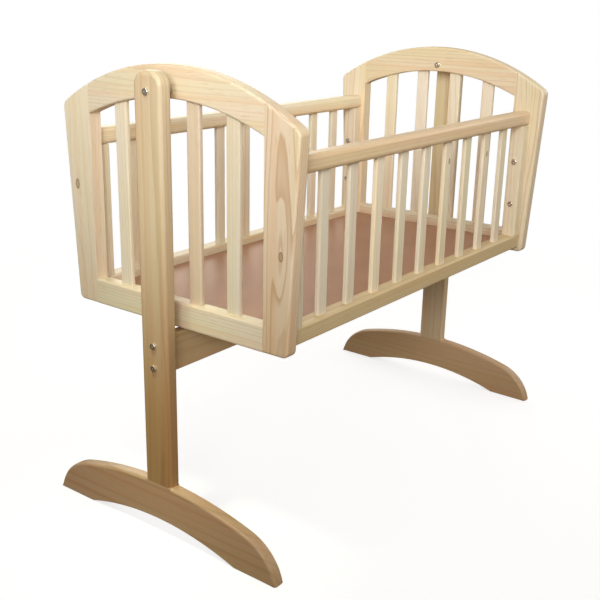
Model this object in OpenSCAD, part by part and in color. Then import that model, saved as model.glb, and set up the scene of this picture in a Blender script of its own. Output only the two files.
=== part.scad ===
// Swinging baby cradle in lacquered pine: a slatted crib hung between two uprights.
// X runs along the crib, Y across it and Z up. The origin is on the floor, under the middle.
// "left" is the -X end, "front" is the -Y side.

/* [Crib] */
// Clear length inside, between the end panels
crib_len = 900; // [700:10:1100]
// Clear width inside, between the side panels
crib_w = 440; // [360:10:540]
// Height of the crib's underside above the floor
crib_z = 410; // [340:5:480]

/* [End panels] */
// Thickness of the end panel frame
end_t = 28; // [22:1:40]
// How far a post's inner edge stands in past the side panel
post_lap = 10; // [4:1:16]
// Width of a post at its foot
post_foot_w = 53; // [46:1:80]
// Width of a post at its shoulder
post_top_w = 73; // [50:1:100]
// Height of the end panel, from its underside to the top of the arch
end_h = 472; // [400:4:560]
// Radius of the arch's upper edge
arch_r = 505; // [440:5:700]
// Radius of the arch's lower edge
arch_under_r = 525; // [440:5:700]
// Depth of the arch rail in the middle
arch_d = 58; // [48:1:80]
// Height of the straight rail at the bottom
end_rail_h = 50; // [36:1:70]
// Rounding of a post's top corner
post_top_r = 16; // [6:1:20]
// Rounding of a post's bottom corner
post_foot_r = 12; // [4:1:20]
// Number of slats in an end panel
end_slats = 4; // [3:1:5]
// Width of an end slat
end_slat_w = 30; // [20:1:40]

/* [Side panels] */
// Height of the side panel's underside above the crib's underside
side_lift = 12; // [6:1:30]
// Height of a side panel
side_h = 327; // [260:1:380]
// Height of a side rail
rail_h = 32; // [26:1:40]
// Depth of a side rail
rail_d = 34; // [28:1:40]
// Rounding of the top rail's edges
rail_r = 9; // [3:1:12]
// Width of the stile at each end of a side panel
stile_w = 28; // [22:1:40]
// Number of slats in a side panel
side_slats = 9; // [7:1:11]
// Width of a side slat
side_slat_w = 26; // [20:1:32]

/* [Slats] */
// Thickness of every slat
slat_t = 10; // [8:0.5:14]
// Depth of the mortise that a slat's end sits in
mortise_d = 12; // [8:1:16]
// Gap round a slat's end in its mortise
mortise_gap = 0.1; // [0.05:0.05:0.3]

/* [Base] */
// Thickness of the base board
board_t = 6; // [4:0.5:8]
// How far the base board's top lies below the side bottom rail's top
board_drop = 16; // [10:1:18]
// Gap round the base board
board_gap = 1.5; // [0.5:0.5:3]
// Width of the ledger that carries the base board
ledger_w = 20; // [12:1:30]

/* [Stand] */
// Thickness of the uprights and feet
stand_t = 25; // [20:1:36]
// Width of an upright
upright_w = 66; // [50:1:90]
// Gap between an end panel and its upright
swing_gap = 30; // [16:1:44]
// Rounding of an upright's top corners
upright_r = 25; // [10:1:32]
// Height of an upright above the pivot
upright_over = 34; // [26:1:40]
// Rounding of an upright's outer edges
edge_r = 9; // [2:1:10]
// Overall length of a foot
foot_len = 578; // [480:2:700]
// Height of a foot in the middle
foot_h = 107; // [90:1:130]
// Radius of a foot's long upper curve
foot_crown_r = 800; // [700:10:1000]
// Radius of the curve that turns a foot down at its tip
foot_tip_r = 104; // [90:1:120]
// Length of the flat pad at each end of a foot
pad_len = 98; // [70:1:130]
// Rise of the hollow under a foot
foot_rise = 30; // [16:1:40]
// Height of the stretcher board
stretcher_h = 74; // [60:1:100]
// Thickness of the stretcher board
stretcher_t = 22; // [18:1:30]
// Gap between the stretcher and the crib's underside
stretcher_gap = 8; // [8:1:20]

/* [Pivot] */
// Depth of the pivot below the top of the arch
pivot_d = 42; // [36:1:46]
// Diameter of the sleeve nut's barrel, which the crib swings on
pin_dia = 10; // [8:0.5:12]
// Running gap between the barrel and its bush, on the radius
pin_gap = 0.05; // [0.02:0.01:0.1]
// Outer diameter of the pivot bush
bush_dia = 14; // [12.5:0.5:18]
// Diameter of the spacer between the upright and the end panel
spacer_dia = 16; // [16:1:30]
// Gap at the ends of the spacer and under the sleeve nut's flange
end_play = 0.5; // [0.3:0.1:1]

/* [Fasteners] */
// Diameter of the bolt shanks
bolt_dia = 6; // [5:0.5:8]
// Diameter of the bolt heads
head_dia = 13; // [10:0.5:16]
// Height of the bolt heads
head_h = 4; // [2.5:0.5:5]
// Distance between the two bolts at each end of the stretcher
stretcher_pitch = 43; // [30:1:56]
// Distance between the two bolts in a side stile
side_pitch = 101; // [60:1:160]
// Height of the side bolts' middle above the side panel's underside
side_bolt_mid = 160; // [110:1:180]
// Diameter of the threaded inserts in the posts
insert_dia = 10; // [8:0.5:12]
// Length of the threaded inserts
insert_len = 16; // [10:1:20]
// Diameter of the barrel nuts in the stretcher
barrel_dia = 10; // [9:0.5:14]
// Distance of the barrel nuts from the stretcher's end
barrel_in = 32; // [24:1:50]
// Wood left in front of the barrel nuts
barrel_floor = 4; // [2:0.5:6]
// Diameter of the wooden dowels in the panels
dowel_dia = 8; // [6:0.5:10]
// Length of the wooden dowels in the panels
dowel_len = 36; // [24:1:50]
// Diameter of the dowels between a foot and its upright
foot_dowel_dia = 10; // [8:0.5:12]
// Length of the dowels between a foot and its upright
foot_dowel_len = 60; // [40:2:80]
// Distance between the two dowels of a foot
foot_dowel_pitch = 36; // [24:1:44]

/* [Hidden] */
$fn = 96;
left = -1;
right = 1;
front = -1;
back = 1;
// Overlap of two shapes that are joined into one solid
eps = 0.01;
// How far a cutting shape runs past what it cuts
past = 1;
// How far a corner's cutting shape reaches from the rounding's centre, in its radii
corner_reach = 3;
pine = "wheat";
end_names = [[left, "left"], [right, "right"]];
side_names = [[front, "front"], [back, "back"]];

// Levels of the crib
apex_z = crib_z + end_h;
pivot_z = apex_z - pivot_d;
side_z = crib_z + side_lift;
side_top_z = side_z + side_h;
rail_under_z = side_top_z - rail_h;
rail_top_z = side_z + rail_h;
board_z = rail_top_z - board_drop - board_t;
side_bolt_z = [for (s = [-1, 1]) side_z + side_bolt_mid + s * side_pitch / 2];

// Places along and across the crib
end_in_x = crib_len / 2;
end_mid_x = end_in_x + end_t / 2;
end_out_x = end_in_x + end_t;
stand_in_x = end_out_x + swing_gap;
stand_mid_x = stand_in_x + stand_t / 2;
stand_out_x = stand_in_x + stand_t;
side_y = (crib_w + rail_d) / 2;
post_in_y = crib_w / 2 - post_lap;
side_gap = (crib_len - 2 * stile_w - side_slats * side_slat_w) / (side_slats + 1);
end_gap = (2 * post_in_y - end_slats * end_slat_w) / (end_slats + 1);

// A post's outer edge leans out; the shoulder is where it would meet the arch
shoulder_z = apex_z - arch_r + sqrt(pow(arch_r, 2) - pow(post_in_y + post_top_w, 2));
post_slope = (post_top_w - post_foot_w) / (shoulder_z - crib_z);
post_lean = atan(post_slope);
arch_mid_z = apex_z - arch_r;
under_mid_z = apex_z - arch_d - arch_under_r;
end_rail_z = crib_z + end_rail_h;

// Levels of the stand
stretcher_z = crib_z - stretcher_gap - stretcher_h;
stretcher_bolt_z = [for (s = [-1, 1]) stretcher_z + stretcher_h / 2 + s * stretcher_pitch / 2];
crown_mid_z = foot_h - foot_crown_r;
seat_z = crown_mid_z + sqrt(pow(foot_crown_r, 2) - pow(upright_w / 2, 2));
foot_dowel_y = foot_dowel_pitch / 2;
barrel_len = stretcher_t - barrel_floor;
pivot_bolt_len = stand_t + swing_gap + end_t - head_h;

// A foot's long curve turns into the tip curve, which comes down to the floor at the foot's end.
// The two arcs touch on a line through the long curve's centre: a triangle of that centre,
// the tip curve's centre and the foot's end gives the line's angle from the vertical.
tip_mid_r = foot_crown_r - foot_tip_r;
foot_end_r = norm([foot_len / 2, crown_mid_z]);
turn_sq = pow(foot_end_r, 2) + pow(tip_mid_r, 2) - pow(foot_tip_r, 2);
turn_back = acos(turn_sq / (2 * foot_end_r * tip_mid_r));
turn_a = atan2(foot_len / 2, -crown_mid_z) - turn_back;
turn_dir = [sin(turn_a), cos(turn_a)];
turn_at = [0, crown_mid_z] + foot_crown_r * turn_dir;
tip_mid = [0, crown_mid_z] + tip_mid_r * turn_dir;
hollow_half = foot_len / 2 - pad_len;
hollow_r = (pow(hollow_half, 2) + pow(foot_rise, 2)) / (2 * foot_rise);

// ---- Building blocks ----

// Extrudes a profile drawn in Y and Z from x0 to x1
module along_x(x0, x1) {
    translate([x0, 0, 0])
        rotate([90, 0, 90])
            linear_extrude(x1 - x0) children();
}

// Moves what is drawn at the right end, or at the back, to end e or side s
module to_end(e) {
    mirror([e == left ? 1 : 0, 0, 0]) children();
}
module to_side(s) {
    mirror([0, s == front ? 1 : 0, 0]) children();
}

// A block between two opposite corners
module block(low, high) {
    translate(low) cube(high - low);
}

// A round bar along X from x0 to x1
module bar_x(dia, x0, x1, y, z) {
    translate([min(x0, x1), y, z]) rotate([0, 90, 0]) cylinder(d = dia, h = abs(x1 - x0));
}

// A rectangle with its corners rounded, from corner to corner
module rounded_box_2d(low, high, r) {
    translate([low[0] + r, low[1]]) square([high[0] - low[0] - 2 * r, high[1] - low[1]]);
    translate([low[0], low[1] + r]) square([high[0] - low[0], high[1] - low[1] - 2 * r]);
    for (y = [low[0] + r, high[0] - r])
        for (z = [low[1] + r, high[1] - r])
            translate([y, z]) circle(r);
}

// A bolt along X with its head outside x = face; dir points from the shank to the head
module bolt_x(face, dir, len, y, z) {
    bar_x(head_dia, face, face + dir * head_h, y, z);
    bar_x(bolt_dia, face + dir * eps, face - dir * len, y, z);
}

// ---- End panels ----

// Half-width of the end panel at height z
function post_out(z) = post_in_y + post_foot_w + (z - crib_z) * post_slope;

// Centre of a rounding that touches the leaning edge and the line z = crib_z
foot_round_z = crib_z + post_foot_r;
foot_round_y = post_out(foot_round_z) - post_foot_r / cos(post_lean);

// Centre of a rounding that touches the leaning edge and the arch's upper edge
lean_y = post_out(0) - post_top_r / cos(post_lean);
qa = 1 + pow(post_slope, 2);
qb = 2 * (post_slope * lean_y - arch_mid_z);
qc = pow(lean_y, 2) + pow(arch_mid_z, 2) - pow(arch_r - post_top_r, 2);
top_round_z = (-qb + sqrt(pow(qb, 2) - 4 * qa * qc)) / (2 * qa);
top_round_y = lean_y + post_slope * top_round_z;
top_dir = atan2(top_round_z - arch_mid_z, top_round_y);

// Takes a post's corner off outside its rounding; a and b are the tangent directions
module corner_cut(mid, r, a, b) {
    reach = corner_reach * r;
    difference() {
        polygon([
            mid + (r - eps) * [cos(a), sin(a)],
            mid + reach * [cos(a), sin(a)],
            mid + 2 * reach * [cos((a + b) / 2), sin((a + b) / 2)],
            mid + reach * [cos(b), sin(b)],
            mid + (r - eps) * [cos(b), sin(b)],
            mid
        ]);
        translate(mid) circle(r);
    }
}

module post_2d() {
    difference() {
        intersection() {
            polygon([
                [post_in_y, crib_z],
                [post_out(crib_z), crib_z],
                [post_out(apex_z), apex_z],
                [post_in_y, apex_z]
            ]);
            translate([0, arch_mid_z]) circle(arch_r, $fn = 360);
        }
        corner_cut([foot_round_y, foot_round_z], post_foot_r, -90, -post_lean);
        corner_cut([top_round_y, top_round_z], post_top_r, -post_lean, top_dir);
    }
}

module end_post(e, s) {
    color(pine) difference() {
        to_side(s) to_end(e) along_x(end_in_x, end_out_x) post_2d();
        panel_dowel_set();
        side_insert_set();
        side_bolt_set();
    }
}

module arch_rail_2d() {
    difference() {
        intersection() {
            translate([0, arch_mid_z]) circle(arch_r, $fn = 360);
            translate([-post_in_y, crib_z]) square([2 * post_in_y, end_h + eps]);
        }
        translate([0, under_mid_z]) circle(arch_under_r, $fn = 360);
    }
}

module arch_rail(e) {
    color(pine) difference() {
        to_end(e) along_x(end_in_x, end_out_x) arch_rail_2d();
        for (i = [1:end_slats]) end_slat_blank(e, i, mortise_gap);
        bar_x(bush_dia, e * (end_in_x - past), e * (end_out_x + past), 0, pivot_z);
        panel_dowel_set();
    }
}

module end_bottom_rail(e) {
    color(pine) difference() {
        to_end(e) block([end_in_x, -post_in_y, crib_z], [end_out_x, post_in_y, end_rail_z]);
        for (i = [1:end_slats]) end_slat_blank(e, i, mortise_gap);
        panel_dowel_set();
    }
}

function end_slat_y(i) = -post_in_y + i * end_gap + (i - 0.5) * end_slat_w;
// The slat's top is set so that both of its corners are inside the rail
function end_slat_top(i) = mortise_d + under_mid_z
    + sqrt(pow(arch_under_r, 2) - pow(abs(end_slat_y(i)) + end_slat_w / 2, 2));

module end_slat_blank(e, i, gap) {
    y = end_slat_y(i);
    half = [slat_t / 2 + gap, end_slat_w / 2 + gap];
    block(
        [e * end_mid_x - half[0], y - half[1], end_rail_z - mortise_d - gap],
        [e * end_mid_x + half[0], y + half[1], end_slat_top(i) + gap]
    );
}

module end_slat(e, i) {
    color(pine) end_slat_blank(e, i, 0);
}

// ---- Side panels ----

module side_top_rail(s) {
    color(pine) difference() {
        along_x(-end_in_x, end_in_x)
            rounded_box_2d(
                [s * side_y - rail_d / 2, rail_under_z],
                [s * side_y + rail_d / 2, side_top_z],
                rail_r
            );
        for (i = [1:side_slats]) side_slat_blank(s, i, mortise_gap);
        panel_dowel_set();
    }
}

module side_bottom_rail(s) {
    color(pine) difference() {
        block([-end_in_x, s * side_y - rail_d / 2, side_z], [end_in_x, s * side_y + rail_d / 2, rail_top_z]);
        for (i = [1:side_slats]) side_slat_blank(s, i, mortise_gap);
        panel_dowel_set();
    }
}

module side_stile(s, e) {
    color(pine) difference() {
        to_end(e) block(
            [end_in_x - stile_w, s * side_y - rail_d / 2, rail_top_z],
            [end_in_x, s * side_y + rail_d / 2, rail_under_z]
        );
        side_bolt_set();
        panel_dowel_set();
    }
}

function side_slat_x(i) = -end_in_x + stile_w + i * side_gap + (i - 0.5) * side_slat_w;

module side_slat_blank(s, i, gap) {
    x = side_slat_x(i);
    half = [side_slat_w / 2 + gap, slat_t / 2 + gap];
    block(
        [x - half[0], s * side_y - half[1], rail_top_z - mortise_d - gap],
        [x + half[0], s * side_y + half[1], rail_under_z + mortise_d + gap]
    );
}

module side_slat(s, i) {
    color(pine) side_slat_blank(s, i, 0);
}

// ---- Base ----

module base_board() {
    half_w = crib_w / 2 - board_gap;
    half_l = end_in_x - board_gap;
    color("rosybrown") block([-half_l, -half_w, board_z], [half_l, half_w, board_z + board_t]);
}

module ledger(s) {
    color(pine) to_side(s)
        block([-end_in_x, crib_w / 2 - ledger_w, side_z], [end_in_x, crib_w / 2, board_z]);
}

// ---- Stand ----

module upright_2d() {
    half = upright_w / 2;
    top = pivot_z + upright_over;
    difference() {
        union() {
            translate([-half, seat_z]) square([upright_w, top - upright_r - seat_z]);
            translate([-half + upright_r, seat_z]) square([upright_w - 2 * upright_r, top - seat_z]);
            for (y = [-half + upright_r, half - upright_r])
                translate([y, top - upright_r]) circle(upright_r);
        }
        translate([0, pivot_z]) circle(d = bolt_dia);
        for (z = stretcher_bolt_z) translate([0, z]) circle(d = bolt_dia);
    }
}

// The outer long edges are rounded: this is what stands outside the rounding
module upright_edge_cut() {
    for (s = [-1, 1])
        translate([stand_out_x - edge_r, s * (upright_w / 2 - edge_r), 0])
            linear_extrude(pivot_z + upright_over - upright_r)
                difference() {
                    translate([0, s > 0 ? 0 : -edge_r - past]) square(edge_r + past);
                    circle(edge_r);
                }
}

module upright(e) {
    color(pine) difference() {
        to_end(e) difference() {
            along_x(stand_in_x, stand_out_x) upright_2d();
            upright_edge_cut();
        }
        foot_dowel_set();
    }
}

module foot_2d() {
    difference() {
        union() {
            intersection() {
                translate([0, crown_mid_z]) circle(foot_crown_r, $fn = 360);
                polygon([
                    [0, crown_mid_z],
                    [-turn_at[0], turn_at[1]],
                    [-turn_at[0], foot_h + past],
                    [turn_at[0], foot_h + past],
                    turn_at
                ]);
            }
            for (s = [-1, 1]) translate([s * tip_mid[0], tip_mid[1]]) circle(foot_tip_r, $fn = 180);
        }
        translate([-foot_len, -2 * foot_crown_r]) square([2 * foot_len, 2 * foot_crown_r]);
        translate([0, foot_rise - hollow_r]) circle(hollow_r, $fn = 360);
        translate([-upright_w / 2, seat_z]) square([upright_w, foot_h]);
    }
}

module foot(e) {
    color(pine) difference() {
        to_end(e) along_x(stand_in_x, stand_out_x) foot_2d();
        foot_dowel_set();
    }
}

module stretcher() {
    color(pine) difference() {
        block(
            [-stand_in_x, -stretcher_t / 2, stretcher_z],
            [stand_in_x, stretcher_t / 2, stretcher_z + stretcher_h]
        );
        stretcher_bolt_set();
        barrel_nut_set();
    }
}

// ---- Fasteners ----

module stretcher_bolt_set() {
    for (e = [left, right])
        for (z = stretcher_bolt_z)
            bolt_x(e * stand_out_x, e, stand_t + barrel_in + barrel_dia / 2, 0, z);
}

// Barrel nuts lie across the stretcher, where its bolts end, let in from the back
module barrel_nut_set() {
    for (e = [left, right])
        for (z = stretcher_bolt_z)
            translate([e * (stand_in_x - barrel_in), stretcher_t / 2, z])
                rotate([90, 0, 0]) cylinder(d = barrel_dia, h = barrel_len);
}

module stretcher_barrel_nuts() {
    color("silver") difference() {
        barrel_nut_set();
        stretcher_bolt_set();
    }
}

module side_bolt_set() {
    for (e = [left, right])
        for (s = [front, back])
            for (z = side_bolt_z)
                bolt_x(e * (end_in_x - stile_w), -e, stile_w + insert_len, s * side_y, z);
}

module side_insert_set() {
    for (e = [left, right])
        for (s = [front, back])
            for (z = side_bolt_z)
                bar_x(insert_dia, e * end_in_x, e * (end_in_x + insert_len), s * side_y, z);
}

module side_inserts() {
    color("goldenrod") difference() {
        side_insert_set();
        side_bolt_set();
    }
}

// Dowels join the end rails to the posts, and the stiles to the side rails
module panel_dowel_set() {
    arch_joint_z = arch_mid_z + sqrt(pow(arch_r, 2) - pow(post_in_y, 2)) - arch_d / 2;
    for (e = [left, right])
        for (s = [front, back]) {
            for (z = [crib_z + end_rail_h / 2, arch_joint_z])
                for (up = [-1, 1])
                    translate([e * end_mid_x, s * post_in_y, z + up * dowel_dia])
                        rotate([90, 0, 0]) cylinder(d = dowel_dia, h = dowel_len, center = true);
            for (z = [rail_top_z, rail_under_z])
                translate([e * (end_in_x - stile_w / 2), s * side_y, z])
                    cylinder(d = dowel_dia, h = dowel_len, center = true);
        }
}

module foot_dowel_set() {
    for (e = [left, right])
        for (s = [front, back])
            translate([e * stand_mid_x, s * foot_dowel_y, seat_z])
                cylinder(d = foot_dowel_dia, h = foot_dowel_len, center = true);
}

module panel_dowels() {
    color(pine) panel_dowel_set();
}

module foot_dowels() {
    color(pine) foot_dowel_set();
}

module side_bolts() {
    color("silver") side_bolt_set();
}

module stretcher_bolts() {
    color("silver") stretcher_bolt_set();
}

// ---- Pivots ----

// The bolt comes through the upright and the spacer into the sleeve nut
module pivot_bolts() {
    color("silver") for (e = [left, right])
        bolt_x(e * stand_out_x, e, pivot_bolt_len, 0, pivot_z);
}

module pivot_spacers() {
    color("whitesmoke") for (e = [left, right])
        difference() {
            bar_x(spacer_dia, e * stand_in_x, e * (end_out_x + end_play), 0, pivot_z);
            bar_x(bolt_dia, e * (stand_in_x + past), e * (end_out_x - past), 0, pivot_z);
        }
}

module pivot_sleeve_nuts() {
    flange_x = end_in_x - end_play;
    color("silver") for (e = [left, right])
        difference() {
            union() {
                bar_x(head_dia, e * (flange_x - head_h), e * flange_x, 0, pivot_z);
                bar_x(pin_dia, e * (flange_x - eps), e * (end_out_x + end_play), 0, pivot_z);
            }
            bar_x(bolt_dia, e * (stand_out_x - pivot_bolt_len), e * stand_in_x, 0, pivot_z);
        }
}

module pivot_bushes() {
    color("goldenrod") for (e = [left, right])
        difference() {
            bar_x(bush_dia, e * end_in_x, e * end_out_x, 0, pivot_z);
            bar_x(pin_dia + 2 * pin_gap, e * (end_in_x - past), e * (end_out_x + past), 0, pivot_z);
        }
}

// ---- Drawing ----

for (e = end_names) {
    for (s = side_names) {
        end_post(e[0], s[0]);
        side_stile(s[0], e[0]);
    }
    arch_rail(e[0]);
    end_bottom_rail(e[0]);
    for (i = [1:end_slats])
        end_slat(e[0], i);
    upright(e[0]);
    foot(e[0]);
}
for (s = side_names) {
    side_top_rail(s[0]);
    side_bottom_rail(s[0]);
    for (i = [1:side_slats])
        side_slat(s[0], i);
    ledger(s[0]);
}
base_board();
panel_dowels();
side_bolts();
side_inserts();
stretcher();
stretcher_bolts();
stretcher_barrel_nuts();
foot_dowels();
pivot_bolts();
pivot_spacers();
pivot_sleeve_nuts();
pivot_bushes();
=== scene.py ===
"""A swinging baby cradle of lacquered pine: its boards, bolts and finishes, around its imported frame."""

from __future__ import annotations

import logging
import math
import random
from collections.abc import Callable, Iterable, Iterator
from contextlib import contextmanager
from dataclasses import dataclass, field
from enum import Enum

import bmesh
import bpy
from bpy.types import Material, Node, NodeSocket, NodeTree, Object
from mathutils import Euler, Matrix, Vector

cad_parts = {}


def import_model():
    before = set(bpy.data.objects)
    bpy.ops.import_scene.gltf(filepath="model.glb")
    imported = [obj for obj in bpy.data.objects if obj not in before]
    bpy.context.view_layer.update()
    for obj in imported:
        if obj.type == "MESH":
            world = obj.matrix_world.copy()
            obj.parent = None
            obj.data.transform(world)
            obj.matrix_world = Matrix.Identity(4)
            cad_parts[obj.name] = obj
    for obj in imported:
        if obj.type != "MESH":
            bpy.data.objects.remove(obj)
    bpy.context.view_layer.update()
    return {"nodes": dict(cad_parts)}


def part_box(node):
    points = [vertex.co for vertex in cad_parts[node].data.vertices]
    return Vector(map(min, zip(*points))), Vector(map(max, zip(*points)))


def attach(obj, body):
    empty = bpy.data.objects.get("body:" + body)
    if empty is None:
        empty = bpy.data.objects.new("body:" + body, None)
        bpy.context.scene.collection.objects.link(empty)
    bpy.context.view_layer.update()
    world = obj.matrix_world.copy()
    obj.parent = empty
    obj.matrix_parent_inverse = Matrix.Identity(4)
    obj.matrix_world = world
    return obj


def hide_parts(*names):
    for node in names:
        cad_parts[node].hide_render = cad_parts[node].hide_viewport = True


LOG = logging.getLogger("cradle")
SAME_PLACE = 1e-5  # metres within which two places along an axis are one
SAME_ARC = 1e-4  # metres within which a point lies on an arc made of chords
WELD = 1e-6  # metres within which two corners are merged
SLACK = 0.001  # metres past a line within which an edge still counts as on it
PLACE_DIGITS = 4  # decimals of a metre by which separate solids are put in order
SHANK_R = 0.003  # every bolt's shank, and the bores that take it
HEXAGON = 6  # sides of a socket for a key

Colour = tuple[float, float, float]
EdgeTest = Callable[[Vector, Vector], bool]
FaceTest = Callable[[Vector, Vector], bool]


class Lay(Enum):
    """How a board lies: the rows give its length, its face's width and its thickness in the frame's axes."""

    STANDING_FACING_END = ((0, 0, 1), (0, 1, 0), (-1, 0, 0))
    STANDING_FACING_SIDE = ((0, 0, 1), (1, 0, 0), (0, 1, 0))
    CROSSWISE_FACING_END = ((0, 1, 0), (0, 0, 1), (1, 0, 0))
    LENGTHWISE_FACING_UP = ((1, 0, 0), (0, 1, 0), (0, 0, 1))
    LENGTHWISE_FACING_SIDE = ((1, 0, 0), (0, 0, 1), (0, -1, 0))


@dataclass(frozen=True)
class Arris:
    """A rounded edge: its radius in metres, and how many facets go round it."""

    radius: float
    facets: int


# ---- Bench: the modelling operators ----


def clear_bench() -> None:
    """Leaves edit mode and deselects everything."""
    if bpy.context.object is not None and bpy.context.object.mode != "OBJECT":
        bpy.ops.object.mode_set(mode="OBJECT")
    bpy.ops.object.select_all(action="DESELECT")


def take(*pieces: Object) -> None:
    """Selects only these pieces, the first one active.

    Args:
        pieces: what to select.
    """
    clear_bench()
    for piece in pieces:
        piece.select_set(True)
    bpy.context.view_layer.objects.active = pieces[0]


@contextmanager
def shaping(piece: Object, mode: str = "EDGE") -> Iterator[None]:
    """Opens a piece in edit mode with nothing selected, and closes it again.

    Args:
        piece: the piece to shape.
        mode: what is selected, VERT, EDGE or FACE.

    Yields:
        Nothing; the piece is closed when the block ends.
    """
    take(piece)
    bpy.ops.object.mode_set(mode="EDIT")
    bpy.ops.mesh.select_mode(type=mode)
    bpy.ops.mesh.select_all(action="DESELECT")
    yield
    bpy.ops.object.mode_set(mode="OBJECT")


def select_edges(piece: Object, test: EdgeTest) -> None:
    """Selects the edges of an open piece whose two ends pass the test.

    Args:
        piece: a piece in edit mode.
        test: takes an edge's two ends.
    """
    mesh = bmesh.from_edit_mesh(piece.data)
    for edge in mesh.edges:
        if test(edge.verts[0].co, edge.verts[1].co):
            edge.select_set(True)
    bmesh.update_edit_mesh(piece.data)


def select_faces(piece: Object, test: FaceTest) -> None:
    """Selects the faces of an open piece whose middle and normal pass the test.

    Args:
        piece: a piece in edit mode.
        test: takes a face's middle and its normal.
    """
    mesh = bmesh.from_edit_mesh(piece.data)
    for face in mesh.faces:
        if test(face.calc_center_median(), face.normal):
            face.select_set(True)
    bmesh.update_edit_mesh(piece.data)


def near(value: float, target: float, reach: float = SAME_PLACE) -> bool:
    """Whether two places along an axis are the same."""
    return abs(value - target) < reach


def settle(piece: Object) -> None:
    """Puts a piece's place, turn and scale into its mesh."""
    take(piece)
    bpy.ops.object.transform_apply(location=True, rotation=True, scale=True)


def named(piece: Object, name: str) -> Object:
    """Gives a piece and its mesh one name.

    Args:
        piece: what to name.
        name: its name.

    Returns:
        The same piece.
    """
    piece.name = name
    piece.data.name = name
    return piece


def block(name: str, low: Vector, high: Vector) -> Object:
    """Makes a squared-up blank between two opposite corners.

    Args:
        name: the piece's name.
        low: its lowest corner.
        high: its highest corner.

    Returns:
        The block.
    """
    clear_bench()
    bpy.ops.mesh.primitive_cube_add(size=1, location=(low + high) / 2, scale=high - low)
    piece = named(bpy.context.object, name)
    settle(piece)
    return piece


def rod(name: str, radius: float, start: Vector, end: Vector, sides: int = 48) -> Object:
    """Makes a round or many-sided bar between two points.

    Args:
        name: the piece's name.
        radius: its radius, out to the corners.
        start: the middle of one end.
        end: the middle of the other end.
        sides: how many flats go round it.

    Returns:
        The bar.
    """
    clear_bench()
    span = end - start
    turn = span.to_track_quat("Z", "Y").to_euler()
    bpy.ops.mesh.primitive_cylinder_add(
        vertices=sides, radius=radius, depth=span.length, location=(start + end) / 2, rotation=turn
    )
    piece = named(bpy.context.object, name)
    settle(piece)
    return piece


def round_edges(piece: Object, arris: Arris, test: EdgeTest) -> None:
    """Rounds the edges that pass the test, as with a router.

    Args:
        piece: the piece to shape.
        arris: how round the edges get.
        test: takes an edge's two ends.
    """
    with shaping(piece):
        select_edges(piece, test)
        bpy.ops.mesh.bevel(
            offset=arris.radius, segments=arris.facets, profile=0.5, affect="EDGES", clamp_overlap=False
        )


def duplicate(piece: Object, name: str, shift: Vector = Vector()) -> Object:
    """Copies a piece, mesh and all, and moves the copy.

    Args:
        piece: the piece to copy.
        name: the copy's name.
        shift: how far the copy is moved.

    Returns:
        The copy.
    """
    take(piece)
    bpy.ops.object.duplicate(linked=False)
    copy = named(bpy.context.object, name)
    bpy.ops.transform.translate(value=shift)
    settle(copy)
    return copy


def mirrored(piece: Object, name: str, flip: Vector) -> Object:
    """Copies a piece to the other end or side.

    Args:
        piece: the piece to copy.
        name: the copy's name.
        flip: -1 along each axis to mirror, 1 along the others.

    Returns:
        The copy, with its faces pointing outwards.
    """
    copy = duplicate(piece, name)
    copy.scale = flip
    settle(copy)
    with shaping(copy):
        bpy.ops.mesh.select_all(action="SELECT")
        bpy.ops.mesh.normals_make_consistent(inside=False)
    return copy


def joined(pieces: list[Object], name: str) -> Object:
    """Makes one piece of several separate solids.

    Args:
        pieces: the solids.
        name: the name of the whole.

    Returns:
        The first of the pieces, which now holds them all.
    """
    take(*pieces)
    if len(pieces) > 1:
        bpy.ops.object.join()
    return named(pieces[0], name)


def opposite(boards: dict[str, Object], this: str, other: str, flip: Vector) -> dict[str, Object]:
    """Copies a set of boards to the other end or side.

    Args:
        boards: the boards, by the node that each stands for.
        this: the word for where they are, in their names.
        other: the word for where the copies go.
        flip: -1 along the axis to mirror, 1 along the others.

    Returns:
        The copies, by their nodes.
    """
    return {
        node.replace(this, other, 1): mirrored(piece, piece.name.replace(this, other, 1), flip)
        for node, piece in boards.items()
    }


def loose_copy(pieces: Iterable[Object], name: str) -> Object:
    """Copies meshes into one new piece whose facets are joined up.

    Args:
        pieces: what to copy.
        name: the new piece's name.

    Returns:
        The new piece.
    """
    copies = []
    for piece in pieces:
        copy = bpy.data.objects.new(name, piece.data.copy())
        bpy.context.scene.collection.objects.link(copy)
        copies.append(copy)
    whole = joined(copies, name)
    with shaping(whole, "VERT"):
        bpy.ops.mesh.select_all(action="SELECT")
        bpy.ops.mesh.remove_doubles(threshold=WELD)
    return whole


def solids(node: Object) -> list[tuple[Vector, Vector]]:
    """Finds the lowest and highest corners of a node's separate solids, in order along X, Y and Z.

    Args:
        node: a node of one or more solids.

    Returns:
        Each solid's lowest and highest corner.
    """
    loose = loose_copy([node], "loose")
    with shaping(loose, "VERT"):
        bpy.ops.mesh.separate(type="LOOSE")
    boxes = []
    for part in list(bpy.context.selected_objects):
        points = [vertex.co for vertex in part.data.vertices]
        boxes.append((Vector(map(min, zip(*points))), Vector(map(max, zip(*points)))))
        bpy.data.objects.remove(part)
    return sorted(boxes, key=lambda box: tuple(round(value, PLACE_DIGITS) for value in box[0]))


def carve(piece: Object, tools: Iterable[Object], operation: str = "DIFFERENCE") -> None:
    """Takes shapes out of a piece, or adds them to it with UNION. The tools stay as they are.

    Args:
        piece: the piece to shape.
        tools: closed shapes.
        operation: DIFFERENCE to take them out, UNION to add them.
    """
    tool = loose_copy(tools, "tool")
    modifier = piece.modifiers.new("carve", "BOOLEAN")
    modifier.operation = operation
    modifier.solver = "EXACT"
    modifier.object = tool
    take(piece)
    bpy.ops.object.modifier_apply(modifier=modifier.name)
    bpy.data.objects.remove(tool)


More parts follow.
